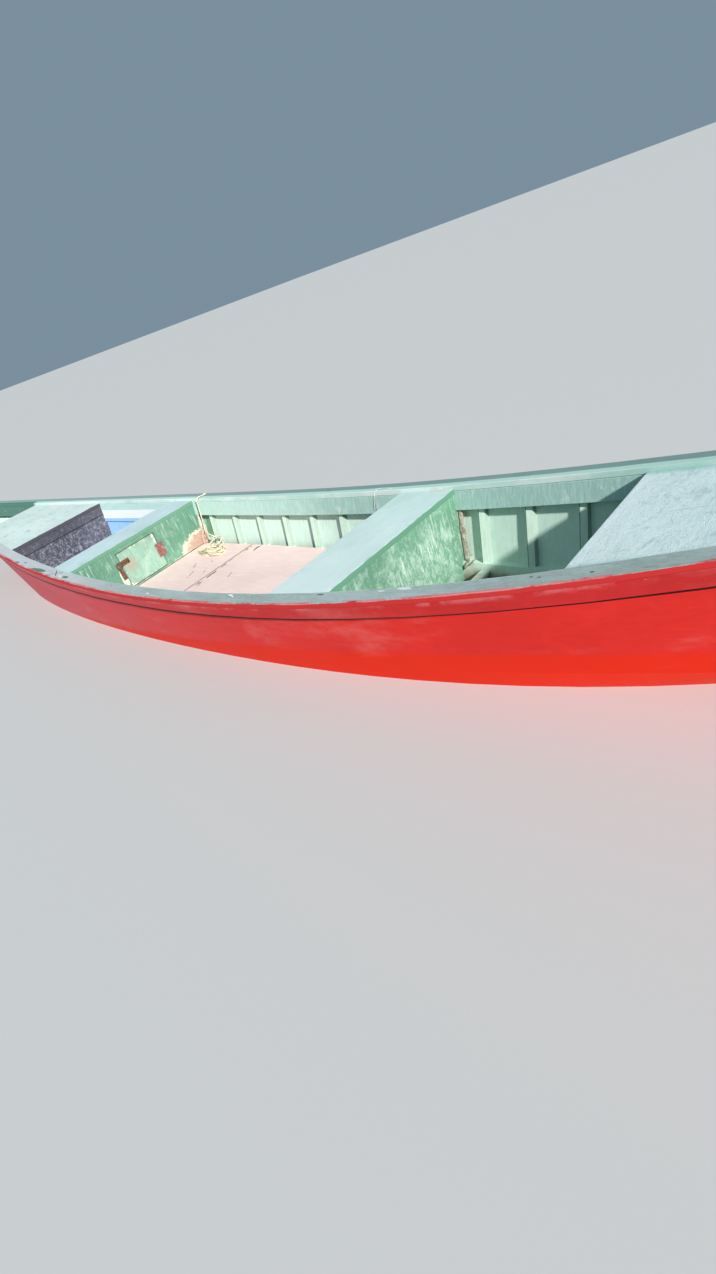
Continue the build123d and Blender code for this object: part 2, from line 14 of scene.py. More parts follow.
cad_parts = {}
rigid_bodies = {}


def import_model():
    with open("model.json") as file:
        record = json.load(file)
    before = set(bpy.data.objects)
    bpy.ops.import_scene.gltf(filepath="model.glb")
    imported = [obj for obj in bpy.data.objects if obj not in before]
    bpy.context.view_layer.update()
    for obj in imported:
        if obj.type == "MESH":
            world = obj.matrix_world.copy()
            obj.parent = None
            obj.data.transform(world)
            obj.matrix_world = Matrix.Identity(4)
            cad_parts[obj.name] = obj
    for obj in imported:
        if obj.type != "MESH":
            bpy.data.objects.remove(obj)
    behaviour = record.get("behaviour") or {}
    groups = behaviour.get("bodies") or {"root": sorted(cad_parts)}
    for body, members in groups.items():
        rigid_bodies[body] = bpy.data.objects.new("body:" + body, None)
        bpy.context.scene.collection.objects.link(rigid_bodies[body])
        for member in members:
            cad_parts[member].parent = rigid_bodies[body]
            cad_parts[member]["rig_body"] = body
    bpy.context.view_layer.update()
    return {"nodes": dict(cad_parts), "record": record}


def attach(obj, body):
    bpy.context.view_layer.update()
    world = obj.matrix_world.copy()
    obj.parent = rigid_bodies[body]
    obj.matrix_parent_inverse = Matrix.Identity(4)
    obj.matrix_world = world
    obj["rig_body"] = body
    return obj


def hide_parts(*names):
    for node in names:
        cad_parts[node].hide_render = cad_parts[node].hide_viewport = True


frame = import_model()
nodes = frame["nodes"]
scene = bpy.context.scene


def add_object(name, data):
    """A new object at the origin, unturned, in the scene."""
    thing = bpy.data.objects.new(name, data)
    scene.collection.objects.link(thing)
    return thing


print("pieces of the frame:", len(nodes))

# %% [markdown]
# ## Camera
# The view is from abreast of the foredeck, at chest height, with the camera turned on its side and tipped.
# Its place and its three angles were fitted to the gunwales, the thwart and the waterline of the
# photograph. The camera's axes are worked out from the angles, and a matrix sets all three at once.

# %% Camera
CAMERA_PLACE = Vector((3.49, -1.96, 1.611))
PITCH_DOWN, HEADING, ROLL = 0.5118136, -0.8800470, 0.3599605     # radians
FOCAL_PIXELS = 640.30
PHOTO_LONG_SIDE = 1274                   # pixels

ahead = Vector((math.sin(HEADING) * math.cos(PITCH_DOWN), math.cos(HEADING) * math.cos(PITCH_DOWN),
                -math.sin(PITCH_DOWN)))
level = Vector((math.cos(HEADING), -math.sin(HEADING), 0))
below = ahead.cross(level)
to_right = math.cos(ROLL) * level + math.sin(ROLL) * below
to_foot = math.cos(ROLL) * below - math.sin(ROLL) * level
camera = add_object("camera", bpy.data.cameras.new("camera"))
turned = Matrix((to_right, -to_foot, -ahead)).transposed().to_4x4()
camera.matrix_world = Matrix.Translation(CAMERA_PLACE) @ turned
camera.data.lens = FOCAL_PIXELS * camera.data.sensor_width / PHOTO_LONG_SIDE
scene.camera = camera
print("lens", round(camera.data.lens, 2), "mm")

# %% [markdown]
# ## Lines of the hull
# Paint follows the boat's own lines: the band under the rail, the wear along the gunwale. So the script needs
# the height and half width of the gunwale at any x, with the same end points and powers as the planking. They
# are written once, and both plain Python and the shaders use them.

# %% Lines of the hull
SHEER_HALF_BEAM = 0.661
SHEER_HEIGHT = 0.472
SHEER_END_HALF = 0.066
SHEER_BOW = (4.330, 0.935, 2.2, 2.1)     # x and height of the end, power in plan, power of the rise
SHEER_STERN = (4.321, 0.735, 1.9, 1.9)
STRAKE_DROP = 0.084                      # depth of the rubbing strake's lower edge amidships
STRAKE_GAIN = 0.028                      # how much deeper it lies at the bow
WATERLINE = 0.080
FLOOR_TOP = 0.138


def sheer(x):
    """Half width and height of the gunwale's outer top edge at x."""
    end_x, end_z, plan, rise = SHEER_BOW if x >= 0 else SHEER_STERN
    reach = min(abs(x) / end_x, 1)
    return (SHEER_END_HALF + (SHEER_HALF_BEAM - SHEER_END_HALF) * (1 - reach ** plan),
            SHEER_HEIGHT + (end_z - SHEER_HEIGHT) * reach ** rise)


# %% [markdown]
# ## Small helpers for meshes
# A new piece starts as a bmesh. When its shape is done, `make_piece` turns it into an object that rides on a
# body of the frame. Its origin stays at zero, so that a pattern read from Object coordinates stays in place.

# %% Mesh helpers
SMOOTH_ANGLE = math.radians(35)          # edges sharper than this stay sharp in the shading
ROUNDED_ANGLE = math.radians(38)         # edges sharper than this are rounded
ROUND_SEGMENTS = 2


def make_piece(name, shape, finish, body="hull"):
    """Object from a bmesh; finish is one material, or a list of them for the faces' indices."""
    mesh = bpy.data.meshes.new(name)
    shape.to_mesh(mesh)
    shape.free()
    piece = add_object(name, mesh)
    for part in finish if isinstance(finish, list) else [finish]:
        mesh.materials.append(part)
    mesh.polygons.foreach_set("use_smooth", [True] * len(mesh.polygons))
    mesh.set_sharp_from_angle(angle=SMOOTH_ANGLE)
    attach(piece, body)
    return piece


def soften(piece, width):
    """Rounded arrises, as sanding and many coats of paint leave them."""
    rounding = piece.modifiers.new("rounded edges", "BEVEL")
    rounding.width = width
    rounding.segments = ROUND_SEGMENTS
    rounding.limit_method = "ANGLE"
    rounding.angle_limit = ROUNDED_ANGLE
    rounding.harden_normals = True


# %% [markdown]
# ## Rope
# The rope is one long limp line: from a knot on the gunwale it hangs down inside and runs into a loose heap
# on the floor. Its route is one NURBS spline. The lead's points are listed, as in the CAD model. The
# heap could be a neat coil, but the real one was dropped there, so its turns are ovals that drift, and a
# loop lays them from the lowest up: each point comes to rest on whatever rope is already under it.

# %% Rope route
ROPE_DIAMETER = 0.008
KNOT_X, KNOT_Y = -0.700, 0.575
KNOT_RADIUS, KNOT_LENGTH = 0.011, 0.034
ROPE_GAP = 0.0003                        # between the knot and the gunwale
knot_z = sheer(KNOT_X)[1] + KNOT_RADIUS + ROPE_GAP
LEAD = [(KNOT_X, KNOT_Y, knot_z), (-0.701, 0.546, knot_z + 0.006), (-0.705, 0.520, knot_z - 0.006),
        (-0.709, 0.509, 0.440), (-0.707, 0.500, 0.385), (-0.694, 0.481, 0.320), (-0.662, 0.442, 0.258)]
HEAP_CENTRE = (-0.545, 0.382)
HEAP_TURNS = 14
HEAP_START = 2.6                         # angle on the lowest oval where the rope's end lies, in radians
HEAP_SQUASH = 0.95                       # the heap is this much narrower across the boat
# limits of an oval's shift in x and y, its long and short radius, and how far it is turned
OVAL_LIMITS = ((-0.085, 0.085), (-0.034, 0.034), (0.080, 0.120), (0.050, 0.064), (-0.7, 0.7))
LAST_OVAL = (-0.045, 0.068, 0.066, 0.044, 0.1)
LAY_STEP = 0.006                         # spacing of the points that are dropped one by one
KEEP_EVERY = 5                           # of those, how many steps lie between two points of the spline
OWN_LENGTH = 0.06                        # rope nearer than this along the line isn't rested on
CLIMB = 0.34                             # steepest climb of the rope over a crossing
LIFTED_STEPS = 12                        # steps before a crossing that it lifts
LEAN_FROM, LEAN_RAMP = 0.90, 0.04        # share of the heap after which its turns lean on the boat's side
LEAN_START_Y, LEAN_SPREAD = 0.428, 0.060
LEAN_HEIGHT = 0.052
draw = random.Random(7)


def heap_plan():
    """The heap seen from above, from the lowest turn to the last: ovals that drift and turn a little."""
    ovals = [tuple(draw.uniform(*limits) for limits in OVAL_LIMITS) for _ in range(HEAP_TURNS - 1)]
    ovals += [LAST_OVAL] * 2
    plan, angle = [], HEAP_START
    while angle - HEAP_START < HEAP_TURNS * 2 * math.pi:
        turn, along = divmod((angle - HEAP_START) / (2 * math.pi), 1)
        blend = along * along * (3 - 2 * along)
        near, far = ovals[int(turn)], ovals[int(turn) + 1]
        shift_x, shift_y, long, short, skew = (a + (b - a) * blend for a, b in zip(near, far))
        u, v = long * math.cos(angle), short * math.sin(angle)
        plan.append((HEAP_CENTRE[0] + shift_x + u * math.cos(skew) - v * math.sin(skew),
                     HEAP_CENTRE[1] + shift_y + (u * math.sin(skew) + v * math.cos(skew)) * HEAP_SQUASH))
        angle += LAY_STEP / math.hypot(long * math.sin(angle), short * math.cos(angle))
    return plan


def drop(plan):
    """Heights of the plan's points when each comes to rest on the floor or on the rope below it."""
    laid, heights, own_steps = {}, [], round(OWN_LENGTH / LAY_STEP)
    for i, (x, y) in enumerate(plan):
        rest = ROPE_DIAMETER / 2
        column, row = round(x / ROPE_DIAMETER), round(y / ROPE_DIAMETER)
        for cell in ((column + a, row + b) for a in (-1, 0, 1) for b in (-1, 0, 1)):
            for j in laid.get(cell, ()):
                gap = math.hypot(x - plan[j][0], y - plan[j][1])
                if i - j > own_steps and gap < ROPE_DIAMETER:
                    rest = max(rest, heights[j] + math.sqrt(ROPE_DIAMETER ** 2 - gap ** 2))
        for back in range(1, min(i, LIFTED_STEPS) + 1):
            heights[i - back] = max(heights[i - back], rest - CLIMB * back * LAY_STEP)
        if heights:
            rest = max(rest, heights[-1] - CLIMB * LAY_STEP)
        heights.append(rest)
        laid.setdefault((column, row), []).append(i)
    return heights


def heap_points():
    """Points of the heap from the lead down, taken from the plan and its heights."""
    plan = heap_plan()
    heights = drop(plan)
    points = []
    for i in range(0, len(plan), KEEP_EVERY):
        x, y = plan[i]
        share = min(1, max(0, i / len(plan) - LEAN_FROM) / LEAN_RAMP)
        lean = min(1, max(0, y - LEAN_START_Y) / LEAN_SPREAD) * LEAN_HEIGHT * share
        points.append((x, y, FLOOR_TOP + heights[i] + lean))
    print("heap height", round(max(heights), 3))
    return points[::-1]


def nurbs(name, points, closed=False):
    """Curve data of one NURBS spline of order 3; its order and ends are set after its points."""
    data = bpy.data.curves.new(name, "CURVE")
    data.dimensions = "3D"
    spline = data.splines.new("NURBS")
    spline.points.add(len(points) - 1)
    for point, place in zip(spline.points, points):
        point.co = (*place, 1)
    spline.order_u = 3
    spline.use_cyclic_u = closed
    spline.use_endpoint_u = not closed
    return data


def line_length(data):
    """Length of a curve that has no bevel, read from its own points."""
    probe = bpy.data.objects.new("probe", data)
    mesh = bpy.data.meshes.new_from_object(probe)
    places = [v.co.copy() for v in mesh.vertices]
    bpy.data.objects.remove(probe)
    bpy.data.meshes.remove(mesh)
    return sum((b - a).length for a, b in zip(places, places[1:]))


rope_data = nurbs("rope", LEAD + heap_points())
rope_data.resolution_u = 10
rope_length = line_length(rope_data)
print("rope length", round(rope_length, 2), "m")

# %% [markdown]
# A smooth tube with a bump map would look like cable, so the laid strands are geometry: a three-lobed profile
# follows the spline, and each point's tilt turns it a little further, at a lay of three and a half diameters.

# %% Rope strands
STRANDS = 3
LOBE_POINTS = 4
LAY_LENGTH = 0.028
LOBE_DEPTH = 0.14


def strand_profile():
    data = bpy.data.curves.new("strands", "CURVE")
    data.dimensions = "2D"
    spline = data.splines.new("POLY")
    count = STRANDS * LOBE_POINTS
    spline.points.add(count - 1)
    for i, point in enumerate(spline.points):
        angle = 2 * math.pi * i / count
        radius = ROPE_DIAMETER / 2 * (1 + LOBE_DEPTH * math.cos(STRANDS * angle))
        point.co = (radius * math.cos(angle), radius * math.sin(angle), 0, 1)
    spline.use_cyclic_u = True
    return bpy.data.objects.new("strands", data)


def lay_strands(data):
    spline = data.splines[0]
    places = [Vector(p.co[:3]) for p in spline.points]
    run = 0
    for point, here, before in zip(spline.points, places, places[:1] + places):
        run += (here - before).length
        point.tilt = 2 * math.pi * run / LAY_LENGTH
    data.bevel_mode = "OBJECT"
    data.bevel_object = profile
    data.use_fill_caps = True


profile = strand_profile()
lay_strands(rope_data)
rope = add_object("rope_line", rope_data)
print("profile points", STRANDS * LOBE_POINTS)

# %% [markdown]
# The knot is a tight trefoil of the same rope, which is the curve of an overhand knot with its ends joined.

# %% Rope knot
KNOT_STEPS = 36
KNOT_UNIT = 0.0024
KNOT_STRETCH, KNOT_FLAT = 1.9, 0.7       # its scale along y and z, as shares of that along x
knot_points = []
for i in range(KNOT_STEPS):
    a = 2 * math.pi * i / KNOT_STEPS
    across = KNOT_STRETCH * KNOT_UNIT * (math.cos(a) - 2 * math.cos(2 * a))
    knot_points.append((KNOT_X + KNOT_UNIT * (math.sin(a) + 2 * math.sin(2 * a)),
                        KNOT_Y + KNOT_LENGTH / 2 - across, knot_z + KNOT_FLAT * KNOT_UNIT * math.sin(3 * a)))
knot_data = nurbs("rope_knot", knot_points, closed=True)
lay_strands(knot_data)
knot_data.use_fill_caps = False
knot = add_object("rope_knot_turns", knot_data)
print("knot points", len(knot_points))

# %% [markdown]
# ## Shader maths
# Most of the finishes are sums of masks: streaks here, chips there, none below the floor. `Number` wraps a
# socket, so that such a sum is written as plain arithmetic, and every operator adds one Math node. `Finish`
# holds one material and makes every other kind of node with a single method.

# %% Shader maths
class Number:
    """A number in a material; arithmetic on it adds Math nodes."""

    def __init__(self, finish, socket):
        self.finish, self.socket = finish, socket

    def math(self, operation, *others):
        node = self.finish.node("ShaderNodeMath", {"operation": operation}, dict(enumerate((self, *others))))
        return Number(self.finish, node.outputs[0])

    def __add__(self, other):
        return self.math("ADD", other)

    def __sub__(self, other):
        return self.math("SUBTRACT", other)

    def __rsub__(self, other):
        return (self * -1).math("ADD", other)

    def __mul__(self, other):
        return self.math("MULTIPLY", other)

    def __truediv__(self, other):
        return self.math("DIVIDE", other)

    def __pow__(self, other):
        return self.math("POWER", other)

    __radd__ = __add__
    __rmul__ = __mul__

    def size(self):
        return self.math("ABSOLUTE")

    def most(self, other):
        return self.math("MAXIMUM", other)

    def rising(self, low, high):
        """0 below low, 1 above high, and smooth between; low may be the larger one."""
        node = self.finish.node("ShaderNodeMapRange", {"interpolation_type": "SMOOTHSTEP"},
                                {"Value": self, "From Min": low, "From Max": high})
        return Number(self.finish, node.outputs[0])

    def band(self, low, high, soft):
        """1 between low and high, with soft edges."""
        return self.rising(low - soft, low) * self.rising(high + soft, high)


class Finish:
    """One material on Object coordinates, which are the boat's own metres."""

    def __init__(self, name):
        self.material = bpy.data.materials.new(name)
        self.material.use_nodes = True
        self.tree = self.material.node_tree
        self.shader = self.tree.nodes["Principled BSDF"]
        self.place = self.node("ShaderNodeTexCoord").outputs["Object"]
        parts = self.node("ShaderNodeSeparateXYZ", {}, {0: self.place})
        self.x, self.y, self.z = (Number(self, parts.outputs[i]) for i in range(3))

    def node(self, kind, settings=None, inputs=None):
        made = self.tree.nodes.new(kind)
        for key, value in (settings or {}).items():
            setattr(made, key, value)
        for key, value in (inputs or {}).items():
            self.put(made.inputs[key], value)
        return made

    def put(self, socket, value):
        if isinstance(value, Number):
            value = value.socket
        if isinstance(value, bpy.types.NodeSocket):
            self.tree.links.new(value, socket)
        elif isinstance(value, tuple) and len(socket.default_value) == 4:
            socket.default_value = (*value, 1)
        else:
            socket.default_value = value

    def mapped(self, stretch, shift=(0, 0, 0)):
        """Coordinates shrunk along the axes where a pattern is to be drawn out."""
        inputs = {0: self.place, "Location": shift, "Scale": stretch}
        return self.node("ShaderNodeMapping", {}, inputs).outputs[0]

    def noise(self, scale, detail=3, stretch=(1, 1, 1), shift=(0, 0, 0), rough=0.55, twist=0.0):
        node = self.node("ShaderNodeTexNoise", {"noise_dimensions": "3D"},
                         {"Vector": self.mapped(stretch, shift), "Scale": scale, "Detail": detail,
                          "Roughness": rough, "Distortion": twist})
        return Number(self, node.outputs[0])

    def wander(self, reach, *pattern, **more):
        """Noise about 0, which takes a straight edge half the reach to either side."""
        return (self.noise(*pattern, **more) - 0.5) * reach

    def spot(self, centre, radii):
        """1 in the middle of an egg-shaped spot, 0 on its edge and outside."""
        parts = [(axis - c) / r for axis, c, r in zip((self.x, self.y, self.z), centre, radii)]
        return (parts[0] ** 2 + parts[1] ** 2 + parts[2] ** 2).rising(1, 0)

    def mix(self, share, first, second):
        """The colour socket that goes from first to second as share goes from 0 to 1."""
        return self.node("ShaderNodeMix", {"data_type": "RGBA"}, {0: share, 6: first, 7: second}).outputs[2]

    def reach(self, end, power):
        """0 from amidships back, 1 at that end, to the end's power in plan (2) or in height (3)."""
        along = self.x if end is SHEER_BOW else self.x * -1
        return (along.most(0) / end[0]) ** end[power]

    def sheer_depth(self):
        """Depth below the gunwale's top at this place's x."""
        bow, stern = (self.reach(end, 3) * (end[1] - SHEER_HEIGHT) for end in (SHEER_BOW, SHEER_STERN))
        return bow + stern + SHEER_HEIGHT - self.z

    def sheer_inset(self):
        """Distance inwards from the gunwale's outer edge, measured level."""
        plan = 1 - self.reach(SHEER_BOW, 2) - self.reach(SHEER_STERN, 2)
        return plan * (SHEER_HALF_BEAM - SHEER_END_HALF) + SHEER_END_HALF - self.y.size()

    def done(self, colour, roughness, height=None, bump=0.3, depth=0.002, specular=0.3):
        self.put(self.shader.inputs["Base Color"], colour)
        self.put(self.shader.inputs["Roughness"], roughness)
        self.put(self.shader.inputs["Specular IOR Level"], specular)
        if height is not None:
            relief = self.node("ShaderNodeBump", {}, {"Strength": bump, "Distance": depth, "Height": height})
            self.put(self.shader.inputs["Normal"], relief.outputs[0])
        return self.material


# %% [markdown]
# ## Paint
# Every painted board here is built up the same way: a coat whose tone drifts a little over half a metre and
# shows the brush along the board, with chips that bare what is below. Flat colour would be simpler, but this
# boat has been brushed by hand many times, and what dates it is how the coats lie over one another. How rough
# and how lumpy a coat is comes from one table.

# %% Paint
ALONG = (0.12, 1, 1)                     # brush strokes run fore and aft
UPRIGHT = (1, 1, 0.12)
# columns: roughness, its spread, strength and depth of the relief, specular level
COATS = {"topside": (0.56, 0.12, 0.28, 0.0016, 0.14), "strake": (0.58, 0.12, 0.42, 0.0022, 0.14),
         "cap": (0.66, 0.14, 0.60, 0.0024, 0.20), "inwale": (0.58, 0.12, 0.85, 0.0034, 0.18),
         "side": (0.58, 0.12, 0.45, 0.0022, 0.18), "stem": (0.58, 0.12, 0.45, 0.0022, 0.16),
         "bilge": (0.60, 0.12, 0.50, 0.0026, 0.30), "foredeck": (0.62, 0.12, 0.80, 0.0036, 0.16),
         "deck": (0.62, 0.12, 0.45, 0.0024, 0.16), "wall": (0.55, 0.14, 0.50, 0.0024, 0.30),
         "worn wall": (0.55, 0.14, 0.55, 0.0026, 0.30), "plain": (0.55, 0.12, 0.35, 0.0020, 0.30),
         "lining": (0.50, 0.12, 0.35, 0.0020, 0.30), "tar": (0.60, 0.20, 0.70, 0.0030, 0.30),
         "floor": (0.60, 0.12, 0.40, 0.0020, 0.30)}


def shade(tone, gain, lift=0.0):
    """The tone made darker or lighter."""
    return tuple(min(1, c * gain + lift) for c in tone)


class Paint(Finish):
    """Brushed boat paint; where chips aren't 0 they show the tone under it."""

    def __init__(self, name, tone, under, brush=ALONG, drift=0.12, strokes=0.10, chips=0.0, grain=60):
        super().__init__(name)
        cloud = self.noise(2.3, 4)
        self.blotch = self.noise(11, 5, rough=0.65)
        self.stroke = self.noise(grain, 3, brush, twist=0.3)
        self.colour = self.mix(cloud.rising(0.3, 0.7), shade(tone, 1 - drift), shade(tone, 1 + drift))
        self.bare(self.blotch.rising(0.45, 0.75) * strokes * 2, shade(tone, 1.25, 0.03))
        self.bare(self.stroke.rising(0.62, 0.4) * strokes * 2.2, shade(tone, 0.72))
        if chips:
            fleck = self.noise(34, 4, (0.5, 1, 1), rough=0.7)
            self.bare(fleck.rising(0.74 - chips * 0.2, 0.78 - chips * 0.2), under)
        self.height = self.stroke * 0.5 + self.blotch * 0.5 + self.noise(260, 2) * 0.25

    def bare(self, share, tone):
        """Shows another tone where share is 1."""
        self.colour = self.mix(share, self.colour, tone)
        return self

    def streaks(self, tone, amount, direction=UPRIGHT, scale=42, low=0.56, high=0.68, where=1.0):
        """Long pale runs where water and hands have worn the coat."""
        run = self.noise(scale, 4, direction, shift=(3.7, 1.3, 0.4), rough=0.6).rising(low, high)
        patch = self.noise(5, 3, shift=(0.7, 4.1, 2.2)).rising(0.38, 0.6)
        return self.bare(run * patch * amount * where, tone)

    def line(self, share, tone=(0.04, 0.05, 0.045), depth=1.5):
        """A dark crack or seam, sunk in the relief."""
        self.colour = self.mix(share, self.colour, tone)
        self.height = self.height - share * depth
        return self

    def port(self):
        """1 on the port half of the boat, and 0 on the starboard half."""
        return self.y.rising(0, 0.1)

    def made(self, coat):
        """The material, with the gloss and relief of one row of the table."""
        roughness, spread, bump, depth, specular = COATS[coat]
        shine = (self.blotch - 0.5) * spread * 2 + roughness
        return self.done(self.colour, shine, self.height, bump, depth, specular)


# %% [markdown]
# ## Red topsides
# The outside is red boat paint: deep and glossy forward, and a dusty pink towards the stern, partly faded
# paint and partly painted glare. The band above the water is a hotter orange red, painted light thrown up by
# the water. The lay of the brush runs fore and aft. Each of these could be a material of its own, but the
# fade runs through all the planks, so one recipe does them all, and masks of x and height place the changes.

# %% Red paint
RED = (0.69, 0.025, 0.019)
STRAKE_RED = (0.56, 0.024, 0.024)
# nearly black red of the painted shadow under the rubbing strake
STRAKE_SHADOW_RED = (0.045, 0.004, 0.006)
FADED_AND_GLARE_RED = (0.68, 0.135, 0.165)
# painted reflection: orange red for the light the water throws up on the lowest planking
WATER_LIGHT_RED = (0.76, 0.022, 0.001)
CHALK = (0.80, 0.62, 0.58)
# pink of worn red paint, also used for painted highlights along red edges
WORN_AND_HIGHLIGHT_RED = (0.72, 0.22, 0.24)
BAND_HEIGHT = 0.145                      # top of the clean band amidships
BAND_RISE = 0.055                        # how much higher it is for each metre forward


def strake_depth(x):
    """Depth of the rubbing strake's lower edge, which drops a little towards the bow."""
    return x.most(0) * (STRAKE_GAIN / SHEER_BOW[0]) + STRAKE_DROP


def red_paint(name, tone, chips, seam=None):
    """Red with chalky scratches; seam holds the depths, past the strake's lower edge, of its painted shadow
    line.
    """
    paint = Paint(name, tone, CHALK, drift=0.06, strokes=0.07, grain=48)
    # partly faded paint and partly painted glare: the red turns a paler pink towards the stern
    fading_and_glare = (paint.x + paint.noise(1.4, 3) * 1.6 - 0.8).rising(2.2, -2.4)
    paint.bare(fading_and_glare * 0.85, FADED_AND_GLARE_RED)
    # painted reflection: a hotter orange red in the band just above the water
    band = paint.z - paint.x * BAND_RISE - BAND_HEIGHT + paint.wander(0.03, 6, 3, ALONG)
    paint.bare(band.rising(0.02, -0.02) * 0.75, WATER_LIGHT_RED)
    dust = paint.noise(3.2, 5, (0.4, 1, 1), shift=(2, 0, 1), rough=0.7).rising(0.52, 0.8)
    paint.bare(dust * 0.16, CHALK)
    scratch = paint.noise(16, 5, (0.25, 1, 2.2), shift=(0, 5, 3), rough=0.75, twist=0.8).rising(0.71, 0.76)
    paint.bare(scratch * chips, CHALK)
    depth = paint.sheer_depth()
    if tone == STRAKE_RED:
        # partly wear and partly painted highlight: pinkish patches along the strake's top edge
        edge = depth + paint.wander(0.06, 38, 6, (0.3, 1, 1), rough=0.8)
        patchy = paint.noise(5, 5, rough=0.7).rising(0.46, 0.62)
        paint.bare(edge.rising(0.050, 0.026) * patchy * 0.5, WORN_AND_HIGHLIGHT_RED)
    # painted shadow: a dark line at the strake's lower edge, where the strake shades the planking below it
    if seam:
        paint.line((depth - strake_depth(paint.x)).band(*seam, 0.0015), STRAKE_SHADOW_RED, 0.5)
    fleck = paint.noise(70, 6, (0.22, 1, 1), shift=(1, 7, 2), rough=0.8).rising(0.655, 0.70)
    paint.bare(fleck * paint.noise(2.6, 3, shift=(8, 0, 0)).rising(0.46, 0.62) * 0.5, WORN_AND_HIGHLIGHT_RED)
    return paint


def bilge_paint_outside():
    """Bilge strakes: as the topsides, and redder forward, where they turn under and get little light."""
    paint = red_paint("bilge red", RED, 0.30)
    paint.bare(paint.x.rising(1.9, 2.9) * 0.6, (0.98, 0.030, 0.002))
    return paint.made("topside")


topside_red = red_paint("topside red", RED, 0.30, (-0.05, 0.005)).made("topside")
strake_red = red_paint("strake red", STRAKE_RED, 0.55, (-0.010, 0.02)).made("strake")
bilge_red = bilge_paint_outside()
stem_red = red_paint("stem red", STRAKE_RED, 0.55).made("strake")

# %% [markdown]
# ## Gunwale caps
# The caps are grey green and take the most wear: ropes, boots and poles have rubbed them chalky, with chips
# down to an older green and to pale wood. Their outer edge is cut in with the red of the strake, by hand, so
# the red comes up over the corner in an uneven line. The mask for it is the depth below the gunwale's top.

# %% Cap paint
CAP_TONE = (0.400, 0.485, 0.455)
CAP_LIGHT = (0.48, 0.60, 0.60)
OLD_GREEN = (0.05, 0.17, 0.12)
PALE_WOOD = (0.62, 0.56, 0.46)
LIME = (0.88, 0.90, 0.88)
# columns: x, y and radii in x and y of a mark, which is on the starboard cap unless y is positive
CAP_SCUFFS = [(2.03, -0.470, 0.050, 0.012), (1.93, -0.487, 0.022, 0.006), (1.033, -0.560, 0.030, 0.008),
              (2.94, -0.414, 0.020, 0.007), (-0.80, -0.600, 0.025, 0.010), (1.176, 0.545, 0.035, 0.008),
              (-0.42, 0.590, 0.030, 0.006), (-1.55, -0.580, 0.030, 0.006), (0.35, -0.620, 0.018, 0.012)]
CAP_CHIPS = [(-1.18, -0.585, 0.170, 0.026), (-0.72, -0.600, 0.055, 0.018), (-1.62, -0.555, 0.040, 0.016),
             (-1.50, -0.540, 0.030, 0.010), (1.62, -0.520, 0.030, 0.008), (0.62, 0.600, 0.030, 0.008)]
CAP_NAILS = [(2.518, -0.416, 0.009, 0.005), (2.548, -0.420, 0.008, 0.005), (2.712, -0.405, 0.010, 0.006),
             (1.20, -0.560, 0.005, 0.005), (-0.10, -0.600, 0.005, 0.005), (0.55, 0.618, 0.005, 0.005)]
# columns: x, y and slant of a dark score across the cap
CAP_SCORES = [(-0.90, -0.580, 1.6), (-0.90, -0.580, -2.4)]
SCORE_HALF = 0.009                       # of a score's soft width
CUT_IN_RED = (0.60, 0.030, 0.030)
INWALE_LAP = 0.052                       # the inwale's mint laps over the far cap from here inwards
LAP_MINT = (0.50, 0.72, 0.64)
LAP_GREEN = (0.06, 0.17, 0.13)           # the same lap, and the inwale, in the stern bay
STERN_BAY = -3.02                        # x where the stern bay's green begins


